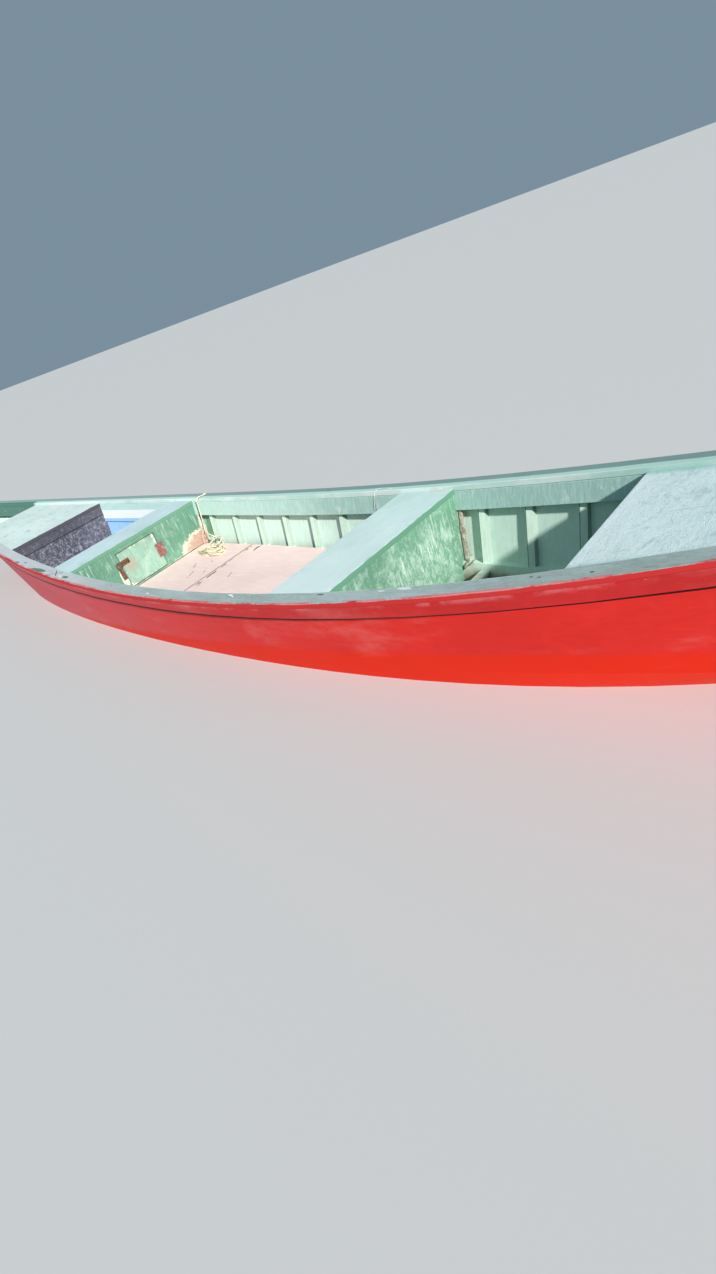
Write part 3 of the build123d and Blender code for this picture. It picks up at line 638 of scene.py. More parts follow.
def cap_paint():
    paint = Paint("cap grey green", CAP_TONE, PALE_WOOD, drift=0.10, strokes=0.16, chips=0.10, grain=52)
    rubbed = paint.noise(4.5, 5, (0.35, 1, 1), rough=0.7)
    paint.bare(rubbed.rising(0.44, 0.66) * 0.55, CAP_LIGHT)
    paint.streaks(CAP_LIGHT, 0.6, ALONG, 58)
    paint.bare(paint.x.rising(0.6, -1.2) * 0.6, (0.66, 0.68, 0.72))
    grit = paint.noise(140, 6, (0.3, 1, 1), rough=0.85)
    paint.bare(grit.rising(0.54, 0.62) * 0.4, CAP_LIGHT)
    paint.bare(grit.rising(0.46, 0.38) * 0.4, (0.15, 0.21, 0.20))
    paint.bare(paint.port() * 0.75, (0.17, 0.30, 0.28))
    paint.streaks(OLD_GREEN, 0.25, ALONG, 30, 0.60, 0.70)
    ragged = paint.wander(1.1, 60, 4)
    for spots, tone in ((CAP_CHIPS, OLD_GREEN), (CAP_SCUFFS, LIME), (CAP_NAILS, (0.03, 0.03, 0.028))):
        for x, y, radius_x, radius_y in spots:
            mark = paint.spot((x, y, sheer(x)[1]), (radius_x, radius_y, 0.03)) + ragged * (radius_x > 0.01)
            paint.bare(mark.rising(0.42, 0.62) * 0.85, tone)
    for x, y, slant in CAP_SCORES:
        across = ((paint.x - x) + (paint.y - y) * slant).size().rising(SCORE_HALF, SCORE_HALF / 3)
        near = paint.spot((x, y, sheer(x)[1]), (0.14, 0.034, 0.03)).rising(0, 0.3)
        paint.line(across * near, (0.05, 0.05, 0.05))
    inner = paint.sheer_inset()
    overlap = (inner + paint.wander(0.014, 12, 4, ALONG)).rising(INWALE_LAP, INWALE_LAP + 0.006)
    overlap = overlap * paint.y.rising(0, 0.02)
    paint.bare(overlap, LAP_MINT)
    in_stern = paint.x.rising(STERN_BAY, STERN_BAY - 0.04)
    paint.bare(overlap * in_stern * 0.92, LAP_GREEN)
    paint.bare(inner.rising(0.084, 0.091) * rubbed.rising(0.40, 0.6) * (1 - in_stern) * 0.6, LIME)
    by_hand = paint.wander(0.006, 9, 4) + paint.wander(0.004, 70, 4)
    cut_in = paint.sheer_depth() + by_hand - paint.port() * 0.008
    outer = inner.rising(0.018, 0.010)
    paint.bare(cut_in.rising(-0.001, 0.001) * outer, CUT_IN_RED)
    # partly wear and partly painted highlight: a pinkish line along the edge of the cut-in red
    rubbed_and_highlight_edge = cut_in.band(-0.001, 0.002, 0.003) * outer
    paint.bare(rubbed_and_highlight_edge * paint.noise(5, 4).rising(0.46, 0.6) * 0.8, WORN_AND_HIGHLIGHT_RED)
    return paint.made("cap")


cap_green = cap_paint()

# %% [markdown]
# ## Mint paint inside
# Inwales, ribs, planking and decks are all mint, but from different tins and years: bluer on the thwart and
# the locker, greener on the ribs, darker and more brushed on the inwales. One mint everywhere would be
# simpler and would look new, so each board has its own function. `side_paint` and `deck_paint` do what they
# share.

# %% Mint paints
INWALE_TONE = (0.46, 0.68, 0.60)
RIB_TONE = (0.71, 0.88, 0.75)
PLANK_TONE = (0.70, 0.90, 0.78)
THWART_TONE = (0.69, 0.85, 0.82)
LOCKER_TONE = (0.57, 0.72, 0.74)
PLATFORM_TONE = (0.64, 0.77, 0.72)
FOREDECK_TONE = (0.69, 0.88, 0.86)
TURQUOISE = (0.28, 0.60, 0.52)
MUD = (0.22, 0.17, 0.11)
DUST = (0.52, 0.50, 0.42)
# tones of the walls, which lap over the fore edge of the deck above
THWART_WALL = (0.130, 0.290, 0.195)
LOCKER_WALL = (0.14, 0.30, 0.205)
TAR = (0.075, 0.070, 0.088)
WHITE = (0.90, 0.92, 0.90)
WELL_ENDS = (-2.065, -1.075)
INWALE_CRACKS = ((1.036, 0.0035), (-0.772, 0.006))      # x and half width


def inwale_paint():
    paint = Paint("inwale mint", INWALE_TONE, LIME, UPRIGHT, drift=0.10, strokes=0.22, chips=0.04, grain=70)
    paint.bare(paint.x.rising(0.6, 2.2) * 0.45, (0.41, 0.61, 0.57))
    paint.streaks((0.74, 0.88, 0.82), 0.55, (1, 1, 0.3), 46)
    paint.bare(paint.x.rising(0.9, -0.4) * 0.6, (0.62, 0.84, 0.76))
    depth = paint.sheer_depth() + paint.wander(0.006, 12, 4)
    paint.bare(depth.rising(0.128, 0.142) * 0.5, LIME)
    paint.bare(depth.rising(0.076, 0.080) * paint.x.band(*WELL_ENDS, 0.004), WHITE)
    in_stern = (paint.x + paint.wander(0.03, 14, 4)).rising(STERN_BAY, STERN_BAY - 0.03)
    paint.bare(in_stern * 0.92, LAP_GREEN)
    paint.streaks((0.40, 0.56, 0.50), in_stern * 0.25, (1, 1, 0.3), 60)
    for x, half in INWALE_CRACKS:
        crack = (paint.x - x + paint.wander(0.006, 30, 2)).size().rising(half, half / 3)
        paint.line(crack, (0.05, 0.09, 0.08), 2.0)
    return paint.made("inwale")


def side_paint(name, tone):
    """Ribs and the planking between them, with the bilge's dirt low down."""
    paint = Paint(name, tone, LIME, drift=0.06, strokes=0.10, chips=0.03, brush=UPRIGHT)
    paint.streaks((0.40, 0.62, 0.50), 0.35)
    low = paint.z - paint.x.most(1.4) * 0.035 + paint.wander(0.08, 9, 5, rough=0.7)
    paint.bare(low.rising(0.11, 0.03) * 0.6, DUST)
    paint.bare(low.rising(0.070, 0.01) * 0.85, MUD)
    return paint


RIB_PITCH = 0.2755
RIB_START = -0.430                       # after face of one rib abaft the thwart
RIB_START_FORE = 1.728                   # the same before it


def rib_paint():
    """Ribs: a painted shadow line along the after corner, and painted shade that dulls the sunlit fore side.
    """
    paint = side_paint("rib mint", RIB_TONE)
    start = paint.x.rising(1.60, 1.61) * (RIB_START_FORE - RIB_START) + RIB_START
    across = ((paint.x - start) / RIB_PITCH).math("FRACT") * RIB_PITCH
    # painted shade: the fore slope of each rib, which faces the sun, is made duller
    paint.bare(across.band(0.0475, 0.070, 0.001), (0.36, 0.46, 0.39))
    # painted shadow: a dark line along each rib's after corner
    paint.line(across.band(0.0095, 0.0140, 0.001) * paint.z.rising(0.10, 0.14) * 0.9, (0.07, 0.15, 0.11), 1.0)
    return paint.made("side")


def bilge_paint():
    """The bottom planking inside, under the floors: mint only near the sides, and nearly black under the
    floor boards, partly mud and partly painted shade.
    """
    paint = side_paint("bilge mint", PLANK_TONE)
    under_floor = paint.x.band(-0.80, 1.25, 0.004)
    # partly mud and partly painted shade: nearly black under the floor boards, so the finger slot reads dark
    paint.bare(under_floor * 0.93, (0.045, 0.032, 0.022))
    return paint.made("bilge")


DECK_DROP = 0.014                        # of a deck's top below the gunwale's top
CARRIED_OVER = 0.0005                    # how far the deck's own colour goes down the board's edge
DECK_BRUSH = (0.6, 0.25, 1)              # strokes mostly across the boat


def deck_paint(name, tone, brush, worn):
    """A deck, with pale and dark runs that follow the brush."""
    paint = Paint(name, tone, LIME, brush=brush, drift=0.07, strokes=0.05, chips=0.03, grain=44)
    soft = tuple(s ** 0.5 for s in brush)
    paint.streaks(shade(tone, 1.2, 0.04), worn * 0.8, soft, 22, 0.46, 0.70)
    paint.streaks(shade(tone, 0.86), worn * 0.5, soft, 13, 0.52, 0.74)
    return paint


def foredeck_paint():
    paint = deck_paint("foredeck blue mint", FOREDECK_TONE, (0.5, 0.16, 1), 0.75)
    paint.bare(paint.x.rising(3.1, 2.7) * 0.5, (0.84, 0.93, 0.91))
    scumble = paint.noise(15, 9, (0.8, 0.45, 1), shift=(4, 2, 0), rough=0.84, twist=0.5)
    paint.bare(scumble.rising(0.47, 0.58) * 0.5, (0.78, 0.90, 0.90))
    paint.bare(scumble.rising(0.47, 0.40) * 0.4, (0.38, 0.54, 0.57))
    paint.bare(paint.noise(55, 7, (0.7, 0.5, 1), rough=0.9).rising(0.555, 0.60) * 0.35, (0.30, 0.45, 0.48))
    tape = (paint.x + paint.wander(0.03, 12, 5, rough=0.7)).rising(2.636, 2.622)
    paint.bare(tape * 0.75, (0.80, 0.91, 0.91))
    seam = (paint.y + 0.0075 + paint.wander(0.006, 14, 3)).size().rising(0.0030, 0.0010)
    seam = seam * paint.x.rising(2.74, 2.84) * paint.noise(10, 2).rising(0.36, 0.5)
    paint.line(seam, (0.78, 0.88, 0.88), 1.0)
    rim = paint.sheer_inset().rising(0.150, 0.100) * paint.noise(7, 4, ALONG).rising(0.42, 0.62)
    paint.bare(rim * 0.8, TURQUOISE)
    paint.height = paint.height + scumble * 1.5
    return paint.made("foredeck")


def platform_paint():
    paint = deck_paint("platform mint", PLATFORM_TONE, ALONG, 0.4)
    rust = paint.spot((-2.52, 0.10, 0.55), (0.20, 0.05, 0.1)) * paint.noise(30, 4).rising(0.5, 0.65)
    return paint.bare(rust * 0.5, DUST)


def plank_paint():
    """Planking between the ribs; beside the locker a strip of it is darker green."""
    paint = side_paint("plank mint", PLANK_TONE)
    corner = paint.x.band(-0.800, -0.716, 0.004) * paint.z.band(0.17, 0.345, 0.015) * paint.port()
    paint.bare(corner * paint.noise(20, 5, UPRIGHT, rough=0.7).rising(0.66, 0.56) * 0.9, (0.11, 0.29, 0.17))
    return paint.made("side")


def stem_inner_paint():
    """The stems' inner faces: mint like the planking, and red where the head stands clear of the gunwale."""
    paint = side_paint("stem inner mint", PLANK_TONE)
    head = paint.sheer_depth().rising(0.032, 0.026).most(paint.x.size().rising(4.20, 4.22))
    return paint.bare(head, STRAKE_RED).made("stem")


inwale_mint = inwale_paint()
rib_mint = rib_paint()
timber_mint = side_paint("timber mint", RIB_TONE).made("side")
plank_mint = plank_paint()
bilge_mint = bilge_paint()
stem_inner = stem_inner_paint()


def board_over_wall(paint, wall):
    """A deck whose fore edge was brushed over with the wall's colour, up to a wavering line."""
    down = paint.sheer_depth() - DECK_DROP - CARRIED_OVER + paint.wander(0.003, 16, 4)
    return paint.bare(down.rising(-0.0005, 0.001), wall).made("deck")


def thwart_top_paint():
    paint = deck_paint("thwart blue mint", THWART_TONE, DECK_BRUSH, 0.4)
    corner = paint.spot((1.54, 0.53, 0.50), (0.16, 0.09, 0.2))
    worn = (corner + paint.wander(1.6, 34, 6, rough=0.8)) * corner.rising(0, 0.1)
    paint.bare(worn.rising(0.45, 0.62) * 0.8, LIME)
    paint.bare(worn.rising(0.66, 0.74) * 0.6, (0.78, 0.62, 0.50))
    paint.bare(paint.y.rising(0.05, 0.50) * 0.35, (0.48, 0.74, 0.64))
    paint.bare(paint.y.rising(0.05, -0.50) * 0.5, (0.82, 0.94, 0.93))
    return board_over_wall(paint, THWART_WALL)


thwart_mint = thwart_top_paint()
locker_mint = board_over_wall(deck_paint("locker pale blue", LOCKER_TONE, DECK_BRUSH, 0.3), LOCKER_WALL)
platform_mint = board_over_wall(platform_paint(), TAR)
foredeck_mint = foredeck_paint()

# %% [markdown]
# ## Green bulkheads
# The locker's front and the thwart's sides are a stronger green, worn in upright streaks and chalky clouds.
# The thwart's fore side is the more weathered. By the locker's far corner the paint has come off in a
# ragged patch, down to cream and peach coats, which gets its own mask with a torn edge.

# %% Green paints
GREEN = (0.125, 0.280, 0.190)
GREEN_PALE = (0.42, 0.58, 0.48)
CREAM = (0.80, 0.72, 0.58)
PEACH = (0.47, 0.36, 0.26)
DOOR_TONE = (0.265, 0.425, 0.33)
PATCH_PLACE = (-0.81, 0.50, 0.135)
PATCH_RADII = (0.06, 0.27, 0.150)


def green_paint(name, tone, wear):
    paint = Paint(name, tone, CREAM, brush=UPRIGHT, drift=0.14, strokes=0.16, chips=0.03)
    cloud = paint.noise(7, 6, rough=0.72, twist=0.6)
    paint.bare(cloud.rising(0.48, 0.72) * wear, GREEN_PALE)
    paint.streaks(GREEN_PALE, 0.5 + wear * 0.5, (1, 1, 0.10), 66, 0.54, 0.66)
    paint.streaks(LIME, 0.45, (1, 1, 0.16), 120, 0.63, 0.70)
    fleck = paint.noise(110, 4, (1, 1, 0.5), rough=0.7).rising(0.64, 0.70)
    return paint.bare(fleck * 0.7 * wear, LIME)


def locker_front_paint():
    paint = green_paint("locker green", GREEN, 0.35)
    patch = paint.spot(PATCH_PLACE, PATCH_RADII)
    torn = patch + paint.wander(2.2, 34, 7, rough=0.9)
    patch = patch.rising(0.0, 0.16)
    paint.bare(torn.rising(0.20, 0.26) * patch, CREAM)
    peeled = torn + paint.wander(0.9, 40, 6, rough=0.8)
    fibrous = paint.noise(30, 5, (1, 0.25, 1), rough=0.7).rising(0.40, 0.62)
    paint.bare(peeled.rising(0.36, 0.50) * patch * 0.9, paint.mix(fibrous, PEACH, (0.62, 0.52, 0.40)))
    paint.bare((peeled + paint.y * 1.2 - 0.58).rising(0.44, 0.60) * patch * 0.6, (0.40, 0.24, 0.17))
    ragged = paint.wander(0.05, 26, 5, (1, 0.4, 1), rough=0.8)
    foot = paint.z - FLOOR_TOP
    paint.bare((foot + ragged).rising(0.012, 0.004) * paint.noise(6, 3).rising(0.44, 0.56) * 0.8, CREAM)
    paint.bare((foot + ragged * 0.4).rising(0.008, 0.003) * 0.9, (0.07, 0.12, 0.08))
    below = paint.spot((-0.81, -0.215, 0.24), (0.05, 0.035, 0.10))
    chafed = (below + paint.wander(1.2, 60, 5, rough=0.8)).rising(0.5, 0.6) * below.rising(0, 0.1)
    paint.bare(chafed * 0.8, CREAM)
    return paint.made("wall")


def thwart_side_paint():
    paint = green_paint("thwart side green", (0.145, 0.32, 0.21), 0.8)
    mottled = paint.noise(34, 8, (1, 1, 0.6), rough=0.88)
    zone = paint.spot((1.615, 0.10, 0.28), (0.2, 0.44, 0.22))
    paint.bare((mottled + zone * 0.10).rising(0.53, 0.66) * 0.55, (0.52, 0.69, 0.58))
    paint.streaks((0.78, 0.86, 0.78), 0.8, (1, 1, 0.08), 80, 0.56, 0.64, where=zone.rising(0, 0.3))
    far_edge = paint.y - 0.475 - (paint.z - 0.30) * 0.16 + paint.wander(0.05, 24, 5, rough=0.7)
    paint.bare(far_edge.rising(-0.012, -0.003) * 0.85, (0.50, 0.52, 0.42))
    paint.bare(far_edge.rising(-0.002, 0.006) * 0.8, (0.30, 0.24, 0.17))
    return paint.made("worn wall")


def door_paint():
    paint = green_paint("door pale green", DOOR_TONE, 0.7)
    rim_y = (paint.y + 0.03).size().rising(0.146, 0.156)
    rim_z = (paint.z - 0.2825).size().rising(0.113, 0.123)
    rim = rim_y.most(rim_z)
    paint.line(rim * 0.45, (0.16, 0.27, 0.20), 0.6)
    paint.bare(rim * paint.noise(16, 5, rough=0.8).rising(0.52, 0.60) * 0.8, CREAM)
    rust = paint.spot((-0.815, -0.13, 0.305), (0.05, 0.07, 0.08)) * paint.noise(36, 5).rising(0.42, 0.6)
    paint.bare(rust * 0.8, (0.50, 0.27, 0.20))
    corner = paint.spot((-0.81, 0.118, 0.375), (0.05, 0.010, 0.045)).rising(0, 0.3)
    paint.bare(corner * paint.noise(50, 4).rising(0.4, 0.5), CREAM)
    return paint.made("wall")


locker_green = locker_front_paint()
thwart_green = thwart_side_paint()
plain_green = green_paint("bulkhead green", GREEN, 0.35).made("plain")
stern_green = green_paint("stern green", (0.07, 0.19, 0.135), 0.4).made("plain")
door_green = door_paint()

# %% [markdown]
# ## Well, floor and lining
# The well's after bulkhead has a dark tarry coat with pale bloom on it, darker along its top plank. The
# lining is light blue under a white strip. The floor boards are a sun-bleached pink with dark scratches,
# and dirt has packed their seam.

# %% Well, floor and lining
BLOOM = (0.42, 0.41, 0.47)
BLUE = (0.37, 0.60, 0.88)
WELL_RAIL_Z = 0.425
PINK = (0.95, 0.72, 0.67)
PINK_LIGHT = (0.95, 0.82, 0.77)
SEAM_X = -0.235
SEAM_FLAKE = 0.026                       # how far before the seam its second, flaked line runs
FLOOR_DIRT = (0.20, 0.085, 0.07)
# columns: x, y, half length and slant of a dark scratch in the floor's paint
FLOOR_SCRATCHES = [(-0.417, 0.046, 0.06, 0.5), (-0.336, 0.124, 0.04, 0.7), (-0.178, -0.041, 0.05, 0.3),
                   (-0.52, 0.17, 0.05, 0.6), (-0.40, 0.24, 0.03, 1.2), (-0.02, 0.10, 0.03, 0.4)]


def well_paint():
    paint = Paint("well tar", TAR, BLOOM, drift=0.3, strokes=0.2)
    bloom = paint.noise(34, 8, (1, 1, 0.8), rough=0.85, twist=0.3)
    speck = paint.noise(120, 6, rough=0.85)
    below_rail = (paint.z + paint.wander(0.01, 8, 2)).rising(WELL_RAIL_Z + 0.02, WELL_RAIL_Z - 0.03)
    paint.bare((bloom * 0.7 + speck * 0.3).rising(0.47, 0.64) * (0.28 + below_rail * 0.55), BLOOM)
    paint.bare(speck.rising(0.62, 0.7) * 0.35 * below_rail, (0.62, 0.62, 0.68))
    rail = (paint.z - WELL_RAIL_Z).size().rising(0.006, 0.002)
    paint.line(rail * 0.8, (0.015, 0.014, 0.018), 2.0)
    return paint.made("tar")


def floor_paint():
    paint = Paint("floor pink", PINK, PALE_WOOD, brush=ALONG, drift=0.05, strokes=0.08, chips=0.02)
    paint.streaks(PINK_LIGHT, 0.5, ALONG, 30)
    off_seam = paint.x - SEAM_X
    ragged = paint.wander(0.03, 42, 6, (1, 0.5, 1), rough=0.85)
    seam = (off_seam + ragged * 0.35).size().rising(0.0080, 0.0040)
    flaked = (off_seam - SEAM_FLAKE + paint.wander(0.04, 5, 3) + ragged).size().rising(0.0120, 0.0060)
    paint.line(seam.most(flaked * paint.noise(12, 3).rising(0.42, 0.50)) * 0.9, FLOOR_DIRT, 1.2)
    for x, y, long, slant in FLOOR_SCRATCHES:
        off = (paint.x - x + (paint.y - y) * slant + paint.wander(0.02, 26, 4)).size().rising(0.005, 0.002)
        near = paint.spot((x, y, FLOOR_TOP), (0.05, long, 0.05)).rising(0, 0.2)
        paint.line(off * near * paint.noise(22, 3).rising(0.38, 0.5), FLOOR_DIRT)
    # painted shade: the walls of the finger slot, below the floor's top, are nearly black
    hole = paint.spot((-0.144, 0.463, FLOOR_TOP - 0.05), (0.03, 0.10, 0.0499))
    paint.bare(hole.rising(0, 0.02), (0.05, 0.03, 0.022))
    edge = paint.noise(18, 5, rough=0.7).rising(0.5, 0.66) * (paint.x + 0.78).rising(0.05, 0.0)
    paint.bare(edge * 0.6, CREAM)
    return paint.made("floor")


def strip_paint():
    """The white strip along the lining's top, with the lining's blue brushed over its lower edge."""
    paint = Paint("strip white", WHITE, DUST, drift=0.04, strokes=0.05)
    return paint.bare(paint.sheer_depth().rising(0.146, 0.150), BLUE).made("lining")


well_dark = well_paint()
floor_pink = floor_paint()
lining_blue = Paint("lining blue", BLUE, LIME, brush=UPRIGHT, drift=0.08).made("lining")
strip_white = strip_paint()
inner_blue = Paint("inner pale blue", (0.50, 0.68, 0.80), LIME, brush=UPRIGHT).made("plain")

# %% [markdown]
# ## Iron and rope
# The hinge, hasp and staple are rusted through their paint: dark brown scale with orange bloom, and a rough
# pitted relief. The rope is sun-dried fibre, and fine bump along it stands for the yarns in each strand.

# %% Iron and rope finishes
def rusty_iron(name, dark, bright, paint_left):
    rust = Finish(name)
    scale = rust.noise(60, 6, rough=0.8)
    tone = rust.mix(scale.rising(0.35, 0.65), dark, bright)
    tone = rust.mix(rust.noise(130, 4, rough=0.7).rising(0.56, 0.66) * 0.8, tone, (0.45, 0.21, 0.09))
    kept = rust.noise(38, 4, shift=(3, 3, 3)).rising(0.56, 0.62) * paint_left
    tone = rust.mix(kept, tone, (0.62, 0.60, 0.54))
    return rust.done(tone, 0.8 - scale * 0.15, scale + rust.noise(220, 3) * 0.5, 0.8, 0.0012, specular=0.25)


def fibre(name, dark, light):
    yarn = Finish(name)
    tone = yarn.mix(yarn.noise(14, 4, rough=0.7).rising(0.35, 0.65), dark, light)
    tone = yarn.mix(yarn.noise(420, 2).rising(0.55, 0.35) * 0.4, tone, shade(dark, 0.5))
    return yarn.done(tone, 0.85, yarn.noise(700, 2), 0.6, 0.0008, specular=0.2)


hasp_rust = rusty_iron("hasp rust", (0.055, 0.026, 0.02), (0.20, 0.085, 0.05), 0.1)
hinge_rust = rusty_iron("hinge rust", (0.20, 0.070, 0.070), (0.35, 0.125, 0.125), 0.25)
rope_fibre = fibre("rope fibre", (0.72, 0.64, 0.44), (0.88, 0.83, 0.66))
for piece in (rope, knot):
    piece.data.materials.append(rope_fibre)
    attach(piece, "hull")
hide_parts("rope_lead", "rope_heap")
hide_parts("rope_knot")

# %% [markdown]
# ## Dressing the boards
# A node of the frame is loose triangles with razor-sharp corners. Its own mesh is never changed, so each
# board is dressed as a copy: the copy's triangles are merged, planes are cleaned, and a bevel modifier
# rounds the arrises by what the tool and the paint would leave. The copy then stands for its node. A second
# finish goes to the faces that look inboard, because the planking is red outside and mint inside.

# %% Dressing the boards
MERGE_DISTANCE = 2e-5
FLAT_ANGLE = math.radians(0.2)


def side_inside(face):
    """True for a face of the planking that is seen from inside the boat."""
    return face.normal.y * face.calc_center_median().y < 0 or face.normal.z > 0.9


def stem_inside(face):
    """True for a face of a stem that looks amidships."""
    return face.normal.x * face.calc_center_median().x < 0


def dress(node, finish, inboard=None, width=0.003, inside=side_inside):
    """Copy of a node with merged, softened edges; its faces on the inside may have another finish."""
    shape = bmesh.new()
    shape.from_mesh(nodes[node].data)
    bmesh.ops.remove_doubles(shape, verts=shape.verts, dist=MERGE_DISTANCE)
    bmesh.ops.dissolve_limit(shape, angle_limit=FLAT_ANGLE, verts=shape.verts, edges=shape.edges)
    if inboard:
        for face in shape.faces:
            face.material_index = int(inside(face))
    slot = next(part["material_slot"] for part in frame["record"]["subparts"] if part["node"] == node)
    finishes = [finish, inboard] if inboard else [finish]
    piece = make_piece(f"{node}_dressed", shape, finishes, nodes[node]["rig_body"])
    if width:
        soften(piece, width)
    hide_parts(node)


for side in ("port", "starboard"):
    dress(f"topside_{side}", topside_red, plank_mint, width=0)
    dress(f"bilge_strake_{side}", bilge_red, plank_mint, width=0)
    dress(f"rubbing_strake_{side}", strake_red, width=0.0015)
    dress(f"gunwale_cap_{side}", cap_green)
    dress(f"inwale_{side}", inwale_mint, width=0.004)
    dress(f"ribs_{side}", rib_mint)
dress("bottom_planking", topside_red, bilge_mint, width=0)
dress("stem_bow", stem_red, stem_inner, width=0.006, inside=stem_inside)
dress("stem_stern", stem_red, stem_inner, width=0.006, inside=stem_inside)
dress("floor_timbers", timber_mint)

# %% Decks, bulkheads and floors
# columns: node, finish, width of the rounding
BOARDS = [("aft_platform", platform_mint, 0.004), ("locker_top", locker_mint, 0.004),
          ("box_thwart_top", thwart_mint, 0.004), ("foredeck", foredeck_mint, 0.004),
          ("stern_deck", platform_mint, 0.004), ("bulkhead_platform", stern_green, 0.002),
          ("bulkhead_well", well_dark, 0.002), ("bulkhead_locker_aft", inner_blue, 0.002),
          ("bulkhead_locker_front", locker_green, 0.002), ("box_thwart_aft_side", plain_green, 0.002),
          ("box_thwart_fore_side", thwart_green, 0.002), ("bulkhead_foredeck", plain_green, 0.002),
          ("well_lining", lining_blue, 0), ("well_lining_strip", strip_white, 0.002),
          ("well_floor", lining_blue, 0.002), ("floor_panel_aft", floor_pink, 0.002),
          ("locker_door", door_green, 0.002)]
for node, finish, width in BOARDS:
    dress(node, finish, width=width)

# %% [markdown]
# The fore floor panel and its narrow margin board are painted over as one, so their two copies are merged to
# a single board with the finger slot in its edge.

# %% Fore floor board
fore_floor = bmesh.new()
for node in ("floor_panel_fore", "floor_margin_fore"):
    fore_floor.from_mesh(nodes[node].data)
bmesh.ops.remove_doubles(fore_floor, verts=fore_floor.verts, dist=MERGE_DISTANCE)
fore_floor_piece = make_piece("floor_fore_dressed", fore_floor, floor_pink)
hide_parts("floor_panel_fore", "floor_margin_fore")

# %% Ironwork
# columns: node, finish, width of the rounding
IRONWORK = [("hinge_leaf_bulkhead", hinge_rust, 0.0005), ("hinge_leaf_door", hinge_rust, 0.0005),
            ("hinge_pin", hinge_rust, 0.0005), ("hasp", hasp_rust, 0.0006), ("staple", hasp_rust, 0),
            ("staple_plate", hasp_rust, 0.0006)]
for node, finish, width in IRONWORK:
    dress(node, finish, width=width)

# %% [markdown]
# ## Broken staves
# In two corners a stave has come away from the side: a pink one beside the locker and a rotten one beside
# the thwart, with splinters at its foot. A stave could be a plain box, but torn wood isn't straight, so
# each starts as one cell of a grid, is cut along its length, and every ring of it is shifted and narrowed a
# little.

# %% Broken staves
def wood_finish(name, light, dark, old_paint, painted_from=9.0):
    """Grey or pink wood with flecks of old paint, which covers it above the given height."""
    wood = Finish(name)
    grain = wood.noise(60, 5, (1, 1, 0.08), rough=0.7)
    tone = wood.mix(grain.rising(0.35, 0.65), light, dark)
    above = (wood.z - painted_from).rising(-0.04, 0.04)
    left = (wood.noise(40, 5, rough=0.8) + above * 0.3).rising(0.52, 0.58)
    return wood.done(wood.mix(left * 0.8, tone, old_paint), 0.75, grain + left * 0.5, 0.8, 0.0016, 0.2)


STAVE_CUTS = 14
STAVE_FRAY = 0.18                        # shift of its corners, as a share of its width
STAVE_POINT = 0.5                        # width of its head, as a share of its width
TORN_FROM = 0.6                          # share of its length where it starts to narrow
STAVE_BEVEL = 0.0012
JITTER_SEED = 1
noise.seed_set(JITTER_SEED)              # left unseeded, the jitter would change from run to run


def number_of(name):
    """A number that sets one piece's jitter apart from another's."""
    return sum(ord(letter) * (i + 1) for i, letter in enumerate(name)) % 97


def stave(name, foot, head, width, thickness, finish):
    """A torn strip of wood from foot to head, narrower and ragged towards its head."""
    along = Vector(head) - Vector(foot)
    shape = bmesh.new()
    bmesh.ops.create_cube(shape, size=1)
    upright = [e for e in shape.edges if abs(e.verts[0].co.z - e.verts[1].co.z) > 0.5]
    bmesh.ops.subdivide_edges(shape, edges=upright, cuts=STAVE_CUTS, use_grid_fill=True)
    for corner in shape.verts:
        up = corner.co.z + 0.5
        torn = 1 - (1 - STAVE_POINT) * max(0, up - TORN_FROM) / (1 - TORN_FROM)
        jitter = noise.noise_vector(Vector((up * 7, corner.co.x * 2, number_of(name)))) * STAVE_FRAY
        corner.co.x = (corner.co.x * torn + jitter.x) * width
        corner.co.y = (corner.co.y * torn + jitter.y) * thickness
        corner.co.z = up * along.length
    sharp = [e for e in shape.edges if e.calc_face_angle(0) > 1.0]
    bmesh.ops.bevel(shape, geom=sharp, offset=STAVE_BEVEL, segments=ROUND_SEGMENTS, affect="EDGES",
                    profile=0.5, material=-1)
    turn = along.to_track_quat("Z", "Y").to_matrix().to_4x4()
    bmesh.ops.transform(shape, matrix=Matrix.Translation(foot) @ turn, verts=shape.verts)
    make_piece(name, shape, finish)


pink_wood = wood_finish("pink stave wood", (0.66, 0.42, 0.36), (0.40, 0.24, 0.20), (0.80, 0.76, 0.66), 0.27)
rotten_wood = wood_finish("rotten wood", (0.44, 0.40, 0.32), (0.17, 0.14, 0.10), (0.56, 0.60, 0.50))
# columns: name, foot, head, width, thickness, finish
STAVES = [("locker_stave", (-0.797, 0.492, 0.1385), (-0.799, 0.530, 0.375), 0.026, 0.012, pink_wood),
          ("locker_splinter", (-0.790, 0.470, 0.1385), (-0.797, 0.498, 0.235), 0.014, 0.007, pink_wood),
          ("thwart_stave", (1.640, 0.438, 0.150), (1.632, 0.487, 0.425), 0.024, 0.014, rotten_wood),
          ("thwart_splinter_long", (1.646, 0.392, 0.131), (1.664, 0.452, 0.176), 0.012, 0.006, rotten_wood),
          ("thwart_splinter_short", (1.660, 0.386, 0.131), (1.690, 0.432, 0.160), 0.010, 0.005, rotten_wood)]
for row in STAVES:
    stave(*row)
print("staves", len(STAVES))

# %% [markdown]
# ## Nails and screws
# The iron is held by domed screws and the boards by nails, punched a little below the paint. A head could
# be painted on, but its small shadow is what the eye sees, so each is spun from a short profile and joined
# to one mesh, because hundreds of objects would be slow to move together.

# %% Nails and screws
HEAD_SIDES = 12
HEAD_PROFILE = (0, 0.5, 1.0, math.pi / 2)               # angles of the dome's profile, from its rim up
HEAD_SINK = 0.0004


